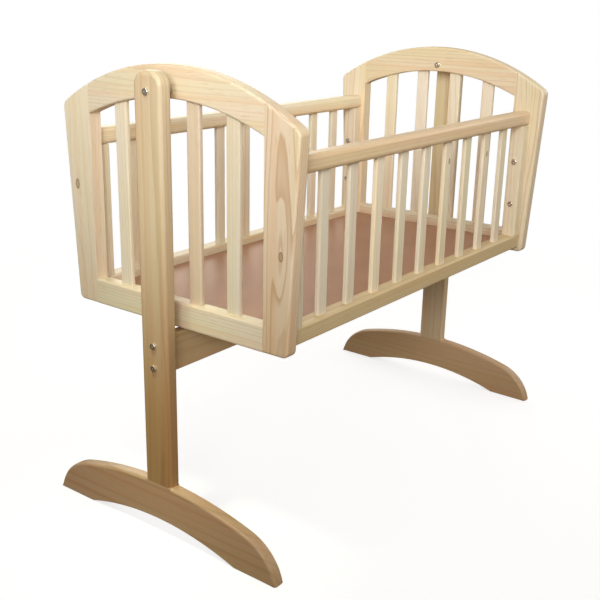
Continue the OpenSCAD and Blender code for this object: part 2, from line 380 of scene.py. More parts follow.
def drill(piece: Object, radius: float, holes: Iterable[tuple[Vector, Vector]]) -> None:
    """Bores round holes between pairs of points, all at once.

    Args:
        piece: the piece to bore.
        radius: the holes' radius.
        holes: each hole's two ends.
    """
    bits = [rod("bit", radius, start, end) for start, end in holes]
    carve(piece, bits)
    for bit in bits:
        bpy.data.objects.remove(bit)


def smooth(piece: Object, crease_degrees: float = 40.0) -> None:
    """Shades roundings smooth while the flats beside them stay flat.

    Args:
        piece: the piece to shade.
        crease_degrees: an edge sharper than this stays sharp.
    """
    take(piece)
    bpy.ops.object.shade_smooth_by_angle(angle=math.radians(crease_degrees))
    modifier = piece.modifiers.new("flats", "WEIGHTED_NORMAL")
    modifier.keep_sharp = True
    bpy.ops.object.modifier_apply(modifier=modifier.name)


class Pen:
    """Draws a closed outline in the Y-Z plane with lines and arcs, and makes a board of it."""

    dot = 0.001
    turn_step = math.radians(7.5)
    longest_chord = 0.009

    def __init__(self, name: str, x: float, start: tuple[float, float]) -> None:
        """Puts the pen down at a point of the plane at x.

        Args:
            name: the board's name.
            x: where the plane lies.
            start: where the outline starts, as Y and Z.
        """
        clear_bench()
        self.x = x
        self.at = start
        bpy.ops.mesh.primitive_plane_add(size=self.dot, location=(x, *start), rotation=(0, math.pi / 2, 0))
        self.piece = named(bpy.context.object, name)
        settle(self.piece)
        bpy.ops.object.mode_set(mode="EDIT")
        bpy.ops.mesh.select_mode(type="VERT")
        bpy.ops.mesh.select_all(action="SELECT")
        bpy.ops.mesh.merge(type="CENTER")

    def line(self, end: tuple[float, float]) -> Pen:
        """Draws a straight line to a point.

        Args:
            end: the point, as Y and Z.

        Returns:
            The pen.
        """
        step = (0, end[0] - self.at[0], end[1] - self.at[1])
        bpy.ops.mesh.extrude_region_move(TRANSFORM_OT_translate={"value": step})
        self.at = end
        return self

    def arc(self, centre: tuple[float, float], end: tuple[float, float], clockwise: bool = False) -> Pen:
        """Draws the short arc round a centre to a point, anticlockwise as seen from +X.

        Args:
            centre: the arc's middle, as Y and Z.
            end: the point, as Y and Z.
            clockwise: draws it the other way round.

        Returns:
            The pen.
        """
        start_turn = math.atan2(self.at[1] - centre[1], self.at[0] - centre[0])
        end_turn = math.atan2(end[1] - centre[1], end[0] - centre[0])
        sweep = (end_turn - start_turn) % math.tau
        if clockwise:
            sweep -= math.tau
        radius = math.dist(self.at, centre)
        steps = max(abs(sweep) / self.turn_step, radius * abs(sweep) / self.longest_chord)
        bpy.ops.mesh.spin(
            steps=max(2, math.ceil(steps)), angle=-sweep, center=(self.x, *centre), axis=(1, 0, 0)
        )
        self.at = end
        return self

    def board(self, thickness: float) -> Object:
        """Closes the outline and gives it its thickness along X.

        Args:
            thickness: how far the board reaches along X.

        Returns:
            The board.
        """
        bpy.ops.mesh.select_all(action="SELECT")
        bpy.ops.mesh.remove_doubles(threshold=WELD)
        bpy.ops.mesh.edge_face_add()
        bpy.ops.mesh.extrude_region_move(TRANSFORM_OT_translate={"value": (thickness, 0, 0)})
        bpy.ops.mesh.select_all(action="SELECT")
        bpy.ops.mesh.normals_make_consistent(inside=False)
        bpy.ops.object.mode_set(mode="OBJECT")
        return self.piece


# ---- Finishes ----


@dataclass(frozen=True)
class Grain:
    """Noise whose lumps are 1/stretch metres long along each axis.

    Attributes:
        stretch: lumps per metre along each axis.
        detail: how many finer layers lie on the lumps.
        rough: how strong each finer layer is.
    """

    stretch: tuple[float, float, float]
    detail: float = 2.0
    rough: float = 0.5


@dataclass(frozen=True)
class Step:
    """A smooth step from out_low at low to out_high at high."""

    low: float
    high: float
    out_low: float = 0.0
    out_high: float = 1.0


class Wiring:
    """Adds nodes to one node tree and joins them up."""

    mix_colours = (6, 7)  # the two sockets where a Mix node takes colours
    mix_result = 2  # the socket where it gives one

    def __init__(self, tree: NodeTree) -> None:
        """Works on this tree."""
        self.tree = tree

    def node(self, kind: str, **settings: object) -> Node:
        """Adds a node and sets its properties.

        Args:
            kind: the node's type.
            settings: its properties.

        Returns:
            The node.
        """
        made = self.tree.nodes.new(kind)
        for key, value in settings.items():
            setattr(made, key, value)
        return made

    def feed(self, target: NodeSocket, source: NodeSocket | float | tuple) -> None:
        """Joins a socket to a socket, or sets its value.

        Args:
            target: the socket to feed.
            source: another socket, or a value.
        """
        if isinstance(source, NodeSocket):
            self.tree.links.new(source, target)
        elif isinstance(source, tuple) and target.type == "RGBA":
            target.default_value = (*source, 1.0)
        else:
            target.default_value = source

    def math(self, operation: str, *values: NodeSocket | float) -> NodeSocket:
        """One arithmetic step.

        Args:
            operation: what is done.
            values: what it is done to.

        Returns:
            The result.
        """
        made = self.node("ShaderNodeMath", operation=operation)
        for slot, value in zip(made.inputs, values):
            self.feed(slot, value)
        return made.outputs[0]

    def vector(self, operation: str, *values: NodeSocket | tuple) -> Node:
        """One vector step; its node, because length and vector leave by different sockets.

        Args:
            operation: what is done.
            values: what it is done to.

        Returns:
            The node.
        """
        made = self.node("ShaderNodeVectorMath", operation=operation)
        for slot, value in zip(made.inputs, values):
            self.feed(slot, value)
        return made

    def noise(self, place: NodeSocket, grain: Grain) -> NodeSocket:
        """Noise of a given grain.

        Args:
            place: where it is read.
            grain: the size of its lumps, and how rough they are.

        Returns:
            The noise, from 0 to 1.
        """
        scaled = self.vector("MULTIPLY", place, grain.stretch).outputs[0]
        made = self.node("ShaderNodeTexNoise", noise_dimensions="3D")
        self.feed(made.inputs["Vector"], scaled)
        made.inputs["Scale"].default_value = 1.0
        made.inputs["Detail"].default_value = grain.detail
        made.inputs["Roughness"].default_value = grain.rough
        return made.outputs["Fac"]

    def ease(self, value: NodeSocket, step: Step) -> NodeSocket:
        """Sends a value through a smooth step.

        Args:
            value: what goes in.
            step: from where to where.

        Returns:
            What comes out.
        """
        made = self.node("ShaderNodeMapRange", interpolation_type="SMOOTHSTEP")
        settings = (value, step.low, step.high, step.out_low, step.out_high)
        for slot, setting in zip(made.inputs, settings):
            self.feed(slot, setting)
        return made.outputs[0]

    def mix(
        self,
        amount: NodeSocket | float,
        first: NodeSocket | Colour,
        second: NodeSocket | Colour,
        blend: str = "MIX",
    ) -> NodeSocket:
        """Mixes two colours.

        Args:
            amount: how much of the second colour, from 0 to 1.
            first: the first colour.
            second: the second colour.
            blend: how the second is laid over the first.

        Returns:
            The mixed colour.
        """
        made = self.node("ShaderNodeMix", data_type="RGBA", blend_type=blend)
        self.feed(made.inputs[0], amount)
        for slot, colour in zip(self.mix_colours, (first, second)):
            self.feed(made.inputs[slot], colour)
        return made.outputs[self.mix_result]

    def bump(self, height: NodeSocket, distance: float) -> NodeSocket:
        """Turns a height into a surface normal.

        Args:
            height: the height, from 0 to 1.
            distance: how many metres 1 stands for.

        Returns:
            The normal.
        """
        made = self.node("ShaderNodeBump")
        made.inputs["Strength"].default_value = 1.0
        made.inputs["Distance"].default_value = distance
        self.feed(made.inputs["Height"], height)
        return made.outputs["Normal"]


def new_material(name: str) -> tuple[Material, Wiring, Node]:
    """Starts a material.

    Args:
        name: the material's name.

    Returns:
        The material, its wiring and its surface shader.
    """
    material = bpy.data.materials.new(name)
    material.use_nodes = True
    shader = material.node_tree.nodes["Principled BSDF"]
    return material, Wiring(material.node_tree), shader


@dataclass(frozen=True)
class Board:
    """How one board was sawn from its log. Lengths are in metres.

    Attributes:
        pith: from the log's middle line to the board's middle, across its face and through its thickness.
        along: where along the log it was cut.
        lean: how much the log's middle line leans, across the face and through it, per metre.
        ring: distance between two growth rings.
        figure: how strongly the rings show, from 0 to 1.
        tint: colour cast of this board.
        painted_low_shade: painted shade laid over its low end, darker towards the bottom and fading out
            upwards; on the right upright it is painted light, lighter towards the bottom.
        knot: a knot's middle, along and across the board from the board's middle.
        knot_r: the knot's radius, 0 for a clear board.
    """

    pith: tuple[float, float] = (0.0, 0.08)
    along: float = 0.0
    lean: tuple[float, float] = (0.0, 0.0)
    ring: float = 0.0045
    figure: float = 0.6
    tint: Colour = (1.0, 1.0, 1.0)
    painted_low_shade: Colour = (1.0, 1.0, 1.0)
    knot: tuple[float, float] = (0.0, 0.0)
    knot_r: float = 0.0

    # The spans that an ordinary board's values are drawn from; the swing is in radians
    swings = (-1.1, 1.1)
    depths = (0.05, 0.12)
    shades = (0.94, 1.04)
    warmths = (-0.035, 0.035)
    places = (-40.0, 40.0)
    leans = (-0.03, 0.03)
    rings = (0.0035, 0.006)
    figures = (0.35, 0.75)
    red_share = 0.4  # how much of a board's warmth goes into its red

    @classmethod
    def picked(cls, name: str) -> Board:
        """Picks an ordinary board, always the same one for the same name.

        Args:
            name: the node that the board stands for.

        Returns:
            The board.
        """
        draw = random.Random(name)
        swing = draw.uniform(*cls.swings)
        depth = draw.uniform(*cls.depths)
        shade = draw.uniform(*cls.shades)
        warmth = draw.uniform(*cls.warmths)
        return cls(
            pith=(depth * math.sin(swing), depth * math.cos(swing)),
            along=draw.uniform(*cls.places),
            lean=(draw.uniform(*cls.leans), draw.uniform(*cls.leans)),
            ring=draw.uniform(*cls.rings),
            figure=draw.uniform(*cls.figures),
            tint=(shade * (1.0 + cls.red_share * warmth), shade, shade * (1.0 - warmth)),
        )


# Boards that stand out, by the node that each stands for; the colour on their low ends is painted shade
FEATURED = {
    "left_end_front_post": Board(
        pith=(0.004, 0.046), along=3.1, lean=(0.004, 0.012), ring=0.0046, figure=0.95,
        tint=(0.97, 0.9, 0.86), painted_low_shade=(0.88, 0.77, 0.64), knot=(-0.035, -0.001), knot_r=0.0042,
    ),
    "left_end_back_post": Board(
        pith=(-0.03, 0.075), along=-7.3, lean=(-0.02, 0.01), ring=0.005, figure=0.3,
        tint=(1.1, 1.09, 1.13), painted_low_shade=(0.84, 0.77, 0.62), knot=(0.02, 0.006), knot_r=0.0048,
    ),
    "left_end_arch_rail": Board(
        pith=(-0.05, 0.07), along=12.0, lean=(0.02, 0.015), ring=0.0062, figure=0.42,
        tint=(1.0, 0.97, 0.96),
    ),
    "right_end_arch_rail": Board(
        pith=(0.04, 0.075), along=-17.0, lean=(-0.02, 0.02), ring=0.0058, figure=0.5,
        tint=(0.95, 0.91, 0.85),
    ),
    "right_end_front_post": Board(
        pith=(0.035, 0.05), along=21.0, lean=(0.01, 0.02), ring=0.005, figure=0.75,
        tint=(0.98, 0.96, 0.93), knot=(0.09, 0.01), knot_r=0.006,
    ),
    "left_end_slat_2": Board(
        pith=(0.01, 0.09), along=15.0, ring=0.005, figure=0.35, tint=(0.87, 0.81, 0.78),
    ),
    "front_side_top_rail": Board(
        pith=(0.03, 0.06), along=4.0, lean=(0.004, 0.006), ring=0.007, figure=0.4,
        tint=(0.95, 0.83, 0.73),
    ),
    "front_side_bottom_rail": Board(
        pith=(-0.02, 0.08), along=-9.0, lean=(0.004, 0.0), ring=0.005, figure=0.5,
        tint=(0.83, 0.75, 0.57),
    ),
    "front_side_slat_6": Board(
        pith=(0.01, 0.09), along=-3.0, ring=0.005, figure=0.4, knot=(0.09, 0.004), knot_r=0.003,
    ),
    "front_side_slat_8": Board(
        pith=(-0.015, 0.08), along=9.0, ring=0.0045, figure=0.4, knot=(0.085, 0.002), knot_r=0.003,
    ),
    "left_upright": Board(
        pith=(0.02, 0.07), along=5.0, lean=(0.004, 0.0), ring=0.0075, figure=0.6,
        tint=(0.88, 0.87, 0.86), painted_low_shade=(0.75, 0.56, 0.39),
    ),
    "right_upright": Board(
        pith=(-0.03, 0.06), along=-5.0, lean=(0.0, 0.01), ring=0.0065, figure=0.5,
        tint=(0.86, 0.9, 0.86), painted_low_shade=(1.16, 1.09, 1.1),
    ),
    "left_foot": Board(
        pith=(0.06, 0.05), along=8.0, lean=(0.006, 0.0), ring=0.016, figure=0.45,
        tint=(1.0, 0.98, 1.06), painted_low_shade=(0.84, 0.7, 0.58),
    ),
    "right_foot": Board(
        pith=(-0.05, 0.06), along=-8.0, lean=(0.004, 0.004), ring=0.011, figure=0.35,
        tint=(0.95, 0.93, 0.97), painted_low_shade=(0.93, 0.8, 0.66),
    ),
    "stretcher": Board(
        pith=(0.03, 0.07), along=2.0, lean=(0.006, 0.0), ring=0.0065, figure=0.5,
        tint=(1.08, 1.04, 1.0), painted_low_shade=(0.9, 0.78, 0.64),
    ),
}


class PineGroup:
    """The growth rings, fibres, resin ducts and knots of sawn pine, as one shared node group."""

    name = "sawn_pine"
    inputs = (
        ("Log", "NodeSocketVector"),
        ("Knot", "NodeSocketVector"),
        ("Knot radius", "NodeSocketFloat"),
        ("Ring pitch", "NodeSocketFloat"),
        ("Figure", "NodeSocketFloat"),
        ("Early wood", "NodeSocketColor"),
        ("Late wood", "NodeSocketColor"),
        ("Warm streak", "NodeSocketColor"),
        ("Tint", "NodeSocketColor"),
    )
    outputs = (("Color", "NodeSocketColor"), ("Roughness", "NodeSocketFloat"), ("Height", "NodeSocketFloat"))

    # Rings: how far they wander, slowly and quickly, and how the dark wood builds up in each
    sway = Grain((0.9, 8.0, 8.0))
    sway_width = 0.022
    waver = Grain((5.0, 60.0, 60.0))
    waver_width = 0.0022
    faintest_ring = 0.3
    dense_rise = Step(0.58, 0.95)
    dense_end = Step(0.94, 1.0, 1.0, 0.0)

    # Colour between the rings, and the fibres and resin ducts that cross it
    streaks = Grain((1.2, 70.0, 70.0), 3.0)
    streak_step = Step(0.42, 0.68, 0.0, 0.75)
    patches = Grain((2.4, 16.0, 16.0))
    patch_step = Step(0.4, 0.65)
    cool_patch: Colour = (0.98, 1.0, 0.92)
    fibres = Grain((40.0, 1300.0, 1300.0), 2.0, 0.6)
    fibre_contrast = 0.16
    ducts = Grain((26.0, 520.0, 520.0), 1.0)
    duct_step = Step(0.64, 0.74, 0.0, 0.4)

    # Knots: an oval, and the rings that bulge round it, with distances in knot radii
    knot_heart: Colour = (0.50, 0.36, 0.19)
    knot_rim: Colour = (0.34, 0.21, 0.10)
    knot_slim = 0.55
    heart_step = Step(0.55, 0.98)
    edge_step = Step(0.95, 1.3, 0.92, 0.0)
    bulge_slim = 0.15
    bulge_reach = 3.0
    bulge_height = 2.0
    least_knot_r = 0.0001  # added to the radius, so that a clear board divides by something

    # Gloss and relief
    gloss_rough = 0.34
    late_rough = 0.08
    fibre_rough = 0.08
    ring_relief = 0.5
    fibre_relief = 0.6

    def __init__(self) -> None:
        """Builds the group in the file."""
        self.tree = bpy.data.node_groups.new(self.name, "ShaderNodeTree")
        for label, kind in self.inputs:
            self.tree.interface.new_socket(label, in_out="INPUT", socket_type=kind)
        for label, kind in self.outputs:
            self.tree.interface.new_socket(label, in_out="OUTPUT", socket_type=kind)
        self.wires = Wiring(self.tree)
        self.given = self.wires.node("NodeGroupInput").outputs
        self.result = self.wires.node("NodeGroupOutput").inputs
        self._build()

    def _knot_distance(self, slim: float) -> NodeSocket:
        """How far a point is from the knot's middle, in knot radii, for an oval along the log.

        Args:
            slim: how wide the oval is for a length of 1.

        Returns:
            The distance: 0 in the middle, and 1 at the edge.
        """
        wires = self.wires
        away = wires.vector("SUBTRACT", self.given["Log"], self.given["Knot"]).outputs[0]
        oval = wires.vector("MULTIPLY", away, (slim, 1.0, 0.0)).outputs[0]
        length = wires.vector("LENGTH", oval).outputs["Value"]
        return wires.math("DIVIDE", length, wires.math("ADD", self.given["Knot radius"], self.least_knot_r))

    def _wander(self, grain: Grain, width: float) -> NodeSocket:
        """How far noise moves the rings out or in, over a width in all."""
        noise = self.wires.noise(self.given["Log"], grain)
        return self.wires.math("MULTIPLY_ADD", noise, width, -width / 2)

    def _ring_count(self) -> NodeSocket:
        """The number of rings between the log's middle and a point.

        Returns:
            The count; its whole part tells the rings apart.
        """
        wires = self.wires
        flat = wires.vector("MULTIPLY", self.given["Log"], (0.0, 1.0, 1.0)).outputs[0]
        radius = wires.vector("LENGTH", flat).outputs["Value"]
        sway = self._wander(self.sway, self.sway_width)
        waver = self._wander(self.waver, self.waver_width)
        squared = wires.math("POWER", self._knot_distance(self.bulge_slim), 2.0)
        fade = wires.math("EXPONENT", wires.math("DIVIDE", squared, -(self.bulge_reach**2)))
        height = wires.math("MULTIPLY", self.given["Knot radius"], self.bulge_height)
        bulge = wires.math("MULTIPLY", fade, height)
        shifted = wires.math("ADD", wires.math("ADD", radius, sway), wires.math("ADD", waver, bulge))
        return wires.math("DIVIDE", shifted, self.given["Ring pitch"])

    def _late_wood(self) -> tuple[NodeSocket, NodeSocket]:
        """Where the dense, dark wood of each ring lies.

        Returns:
            How dense the wood is, and how dark that looks on this board.
        """
        wires = self.wires
        count = self._ring_count()
        phase = wires.math("FRACT", count)
        draw = wires.node("ShaderNodeTexWhiteNoise", noise_dimensions="1D")
        wires.feed(draw.inputs["W"], wires.math("FLOOR", count))
        faintest = self.faintest_ring
        boldness = wires.math("MULTIPLY_ADD", draw.outputs["Value"], 1.0 - faintest, faintest)
        dense = wires.math("MULTIPLY", wires.ease(phase, self.dense_rise), wires.ease(phase, self.dense_end))
        late = wires.math("MULTIPLY", dense, wires.math("MULTIPLY", boldness, self.given["Figure"]))
        return dense, late

    def _clear_wood(self, late: NodeSocket, fibre: NodeSocket) -> NodeSocket:
        """The colour of the wood where it has no knot.

        Args:
            late: how dark the ring is here.
            fibre: how light the fibre is here.

        Returns:
            The colour.
        """
        wires = self.wires
        log = self.given["Log"]
        streak = wires.ease(wires.noise(log, self.streaks), self.streak_step)
        patch = wires.ease(wires.noise(log, self.patches), self.patch_step)
        ducts = wires.ease(wires.noise(log, self.ducts), self.duct_step)
        colour = wires.mix(streak, self.given["Early wood"], self.given["Warm streak"])
        cooled = wires.mix(1.0, colour, self.cool_patch, "MULTIPLY")
        colour = wires.mix(patch, colour, cooled)
        for amount in (late, ducts):
            colour = wires.mix(amount, colour, self.given["Late wood"])
        grey = wires.math("MULTIPLY_ADD", fibre, self.fibre_contrast, 1.0 - self.fibre_contrast / 2)
        lit = wires.vector("SCALE", colour)
        wires.feed(lit.inputs["Scale"], grey)
        return lit.outputs[0]

    def _with_knot(self, clear: NodeSocket) -> NodeSocket:
        """Lays the knot over the clear wood.

        Args:
            clear: the clear wood's colour.

        Returns:
            The colour with the knot in it.
        """
        wires = self.wires
        away = self._knot_distance(self.knot_slim)
        knot = wires.mix(wires.ease(away, self.heart_step), self.knot_heart, self.knot_rim)
        return wires.mix(wires.ease(away, self.edge_step), clear, knot)

    def _build(self) -> None:
        """Joins the wood's colour, gloss and relief to the outputs."""
        wires = self.wires
        dense, late = self._late_wood()
        fibre = wires.noise(self.given["Log"], self.fibres)
        colour = self._with_knot(self._clear_wood(late, fibre))
        wires.feed(self.result["Color"], wires.mix(1.0, colour, self.given["Tint"], "MULTIPLY"))
        rough = wires.math("MULTIPLY_ADD", late, self.late_rough, self.gloss_rough)
        wires.feed(self.result["Roughness"], wires.math("MULTIPLY_ADD", fibre, self.fibre_rough, rough))
        fibre_height = wires.math("MULTIPLY", fibre, self.fibre_relief)
        height = wires.math("MULTIPLY_ADD", dense, self.ring_relief, fibre_height)
        wires.feed(self.result["Height"], height)


@dataclass(frozen=True)
class PineFinish:
    """Pine under a clear lacquer.

    Attributes:
        early: colour of the wide pale part of a ring.
        late: colour of the narrow dark part.
        warm: colour of the resin-rich streaks.
        lacquer: how much of the surface's gloss comes from the lacquer film.
        film_rough: roughness of the lacquer film.
        relief: height of the grain.
        specular: strength of the wood's own gloss.
        fade: heights between which a board's painted low shade fades out.
    """

    early: Colour
    late: Colour
    warm: Colour
    lacquer: float = 0.12
    film_rough: float = 0.25
    relief: float = 0.00012
    specular: float = 0.4
    fade: Step = Step(0.2, 0.65)

    def material(self, name: str, group: PineGroup, lay: Lay, middle: Vector, board: Board) -> Material:
        """Makes the material of one board.

        Args:
            name: the material's name.
            group: the shared pine group.
            lay: how the board lies.
            middle: the board's middle.
            board: how it was sawn from its log.

        Returns:
            The material, which reads the frame's own coordinates.
        """
        material, wires, shader = new_material(name)
        tilt = Euler((0.0, -board.lean[1], board.lean[0])).to_matrix()
        turn = tilt @ Matrix(lay.value)
        start = Vector((board.along, *board.pith))
        place = wires.node("ShaderNodeTexCoord").outputs["Object"]
        mapping = wires.node("ShaderNodeMapping", vector_type="POINT")
        mapping.inputs["Rotation"].default_value = turn.to_euler()
        mapping.inputs["Location"].default_value = start - turn @ middle
        wires.feed(mapping.inputs["Vector"], place)
        pine = wires.node("ShaderNodeGroup", node_tree=group.tree)
        settings = {
            "Log": mapping.outputs[0],
            "Knot": start + tilt @ Vector((*board.knot, 0.0)),
            "Knot radius": board.knot_r,
            "Ring pitch": board.ring,
            "Figure": board.figure,
            "Early wood": self.early,
            "Late wood": self.late,
            "Warm streak": self.warm,
            "Tint": board.tint,
        }
        for label, value in settings.items():
            wires.feed(pine.inputs[label], value)
        height = wires.node("ShaderNodeSeparateXYZ")
        wires.feed(height.inputs[0], place)
        # Painted shade: the board's low end takes a colour that is darker towards the bottom (lighter on the
        # right upright), fading out upwards between the fade heights
        cast = wires.mix(wires.ease(height.outputs["Z"], self.fade), board.painted_low_shade, (1.0, 1.0, 1.0))
        wires.feed(shader.inputs["Base Color"], wires.mix(1.0, pine.outputs["Color"], cast, "MULTIPLY"))
        wires.feed(shader.inputs["Roughness"], pine.outputs["Roughness"])
        wires.feed(shader.inputs["Normal"], wires.bump(pine.outputs["Height"], self.relief))
        shader.inputs["Specular IOR Level"].default_value = self.specular
        shader.inputs["Coat Weight"].default_value = self.lacquer
        shader.inputs["Coat Roughness"].default_value = self.film_rough
        return material


@dataclass(frozen=True)
class FibreboardFinish:
    """Reddish-brown pressed board with a smooth sealed face.

    Attributes:
        face: colour of most of the face.
        fleck: colour of the dark flecks and strands.
        cloud: colour of the wide paler clouds.
        clouds: how the clouds lie.
        cloud_step: where they begin and are full.
        flecks: how the flecks lie.
        fleck_step: where they begin and are full.
        fleck_strength: how much of its colour a fleck shows.
        strands: how the pressed strands lie.
        strand_step: where they begin, and how much of their colour shows.
        gloss_step: roughness of the face and of the flecks.
        specular: strength of the gloss.
        relief: height of the flecks.
    """

    face: Colour = (0.45, 0.218, 0.118)
    fleck: Colour = (0.33, 0.155, 0.085)
    cloud: Colour = (0.50, 0.25, 0.142)
    clouds: Grain = Grain((5.0, 7.0, 7.0), 3.0)
    cloud_step: Step = Step(0.35, 0.65)
    flecks: Grain = Grain((420.0, 420.0, 420.0), 3.0, 0.7)
    fleck_step: Step = Step(0.5, 0.72)
    fleck_strength: float = 0.55
    strands: Grain = Grain((60.0, 900.0, 900.0), 2.0)
    strand_step: Step = Step(0.55, 0.8, 0.0, 0.25)
    gloss_step: Step = Step(0.0, 1.0, 0.36, 0.5)
    specular: float = 0.3
    relief: float = 0.00008

    def material(self, name: str) -> Material:
        """Makes the board's material.

        Args:
            name: the material's name.

        Returns:
            The material.
        """
        material, wires, shader = new_material(name)
        place = wires.node("ShaderNodeTexCoord").outputs["Object"]
        cloud = wires.ease(wires.noise(place, self.clouds), self.cloud_step)
        flecks = wires.ease(wires.noise(place, self.flecks), self.fleck_step)
        strands = wires.ease(wires.noise(place, self.strands), self.strand_step)
        colour = wires.mix(cloud, self.face, self.cloud)
        colour = wires.mix(wires.math("MULTIPLY", flecks, self.fleck_strength), colour, self.fleck)
        wires.feed(shader.inputs["Base Color"], wires.mix(strands, colour, self.fleck))
        wires.feed(shader.inputs["Roughness"], wires.ease(flecks, self.gloss_step))
        wires.feed(shader.inputs["Normal"], wires.bump(flecks, self.relief))
        shader.inputs["Specular IOR Level"].default_value = self.specular
        return material


@dataclass(frozen=True)
class MetalFinish:
    """Plated or bare metal with fine turning marks.

    Attributes:
        bright: colour of clean metal.
        dull: colour of stained metal.
        gloss_step: roughness between the marks and in them.
        stains: how the stains lie.
        stain_step: where they begin and are full.
        marks: how the turning marks lie.
        relief: height of the marks.
    """

    bright: Colour
    dull: Colour
    gloss_step: Step = Step(0.3, 0.7, 0.22, 0.42)
    stains: Grain = Grain((220.0, 220.0, 220.0), 3.0, 0.6)
    stain_step: Step = Step(0.35, 0.7)
    marks: Grain = Grain((3000.0, 500.0, 500.0), 2.0)
    relief: float = 0.00003

    def material(self, name: str) -> Material:
        """Makes the metal's material.

        Args:
            name: the material's name.

        Returns:
            The material.
        """
        material, wires, shader = new_material(name)
        place = wires.node("ShaderNodeTexCoord").outputs["Object"]
        stain = wires.ease(wires.noise(place, self.stains), self.stain_step)
        marks = wires.noise(place, self.marks)
        wires.feed(shader.inputs["Base Color"], wires.mix(stain, self.bright, self.dull))
        wires.feed(shader.inputs["Roughness"], wires.ease(marks, self.gloss_step))
        wires.feed(shader.inputs["Normal"], wires.bump(marks, self.relief))
        shader.inputs["Metallic"].default_value = 1.0
        return material


@dataclass(frozen=True)
class NylonFinish:
    """Tan nylon with a faint moulded grain.

    Attributes:
        light: the paler colour.
        dark: the darker colour.
        clouds: how the two run into each other.
        cloud_step: where the darker begins and is full.
        grain: the moulded grain.
        gloss_step: roughness between its lumps and on them.
        relief: height of the grain.
    """

    light: Colour = (0.55, 0.47, 0.36)
    dark: Colour = (0.48, 0.40, 0.30)
    clouds: Grain = Grain((90.0, 90.0, 90.0))
    cloud_step: Step = Step(0.35, 0.65)
    grain: Grain = Grain((900.0, 900.0, 900.0), 2.0)
    gloss_step: Step = Step(0.3, 0.7, 0.4, 0.55)
    relief: float = 0.00004

    def material(self, name: str) -> Material:
        """Makes the nylon's material.

        Args:
            name: the material's name.

        Returns:
            The material.
        """
        material, wires, shader = new_material(name)
        place = wires.node("ShaderNodeTexCoord").outputs["Object"]
        grain = wires.noise(place, self.grain)
        cloud = wires.ease(wires.noise(place, self.clouds), self.cloud_step)
        wires.feed(shader.inputs["Base Color"], wires.mix(cloud, self.light, self.dark))
        wires.feed(shader.inputs["Roughness"], wires.ease(grain, self.gloss_step))
        wires.feed(shader.inputs["Normal"], wires.bump(grain, self.relief))
        return material


CRIB_PINE = PineFinish(early=(0.84, 0.71, 0.51), late=(0.62, 0.42, 0.235), warm=(0.83, 0.62, 0.40))
SLAT_PINE = PineFinish(early=(0.87, 0.75, 0.57), late=(0.72, 0.54, 0.34), warm=(0.86, 0.68, 0.46))
# Browner and darker than the crib's pine: partly the stand's own wood, partly painted shade for its low
# place under the light
STAND_PINE = PineFinish(
    early=(0.77, 0.60, 0.39),
    late=(0.56, 0.36, 0.185),
    warm=(0.75, 0.51, 0.30),
    lacquer=0.22,
    film_rough=0.18,
)
RAW_PINE = PineFinish(
    early=(0.72, 0.55, 0.35), late=(0.50, 0.30, 0.15), warm=(0.68, 0.47, 0.28), lacquer=0.0, relief=0.0002
)
BEECH = PineFinish(early=(0.66, 0.44, 0.27), late=(0.54, 0.33, 0.19), warm=(0.62, 0.40, 0.24), lacquer=0.0)
BASE_PANEL = FibreboardFinish()
ZINC = MetalFinish(
    bright=(0.92, 0.86, 0.76), dull=(0.58, 0.50, 0.40), gloss_step=Step(0.3, 0.7, 0.2, 0.42)
)
BRASS = MetalFinish(bright=(0.80, 0.58, 0.27), dull=(0.62, 0.43, 0.19))
NYLON = NylonFinish()


# ---- The cradle's assemblies ----


@dataclass
class Workshop:
    """Dresses pieces and hands them to the frame."""

    nodes: dict[str, Object]
    pine: PineGroup = field(default_factory=PineGroup)
    count: int = 0

    def deliver(self, piece: Object, node: str, body: str, slot: str, material: Material) -> None:
        """Finishes a piece and lets it stand for its node.

        Args:
            piece: the finished shape.
            node: the node it stands for.
            body: the body it moves with.
            slot: the record's material slot; not used.
            material: what it is dressed in.
        """
        smooth(piece)
        piece.data.materials.clear()
        piece.data.materials.append(material)
        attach(piece, body)
        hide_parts(node)
        self.count += 1
        LOG.info("%s: %d faces, rides on %s", piece.name, len(piece.data.polygons), body)

    def timber(self, piece: Object, node: str, body: str, slot: str, finish: PineFinish, lay: Lay) -> None:
        """Dresses a wooden piece as its own board and hands it over.

        Args:
            piece: the finished shape.
            node: the node it stands for.
            body: the body it moves with.
            slot: the record's material slot; not used.
            finish: the wood and its lacquer.
            lay: how the board lies.
        """
        low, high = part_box(node)
        board = FEATURED.get(node) or Board.picked(node)
        material = finish.material(f"{node}_grain", self.pine, lay, (low + high) / 2, board)
        self.deliver(piece, node, body, slot, material)

    def keep(self, node: str, material: Material) -> None:
        """Dresses a node that stays as it is.

        Args:
            node: the node.
            material: what it is dressed in.
        """
        slots = self.nodes[node].material_slots
        for slot in slots:
            slot.material = material
        LOG.info("%s stays, with %d material slot(s)", node, len(slots))


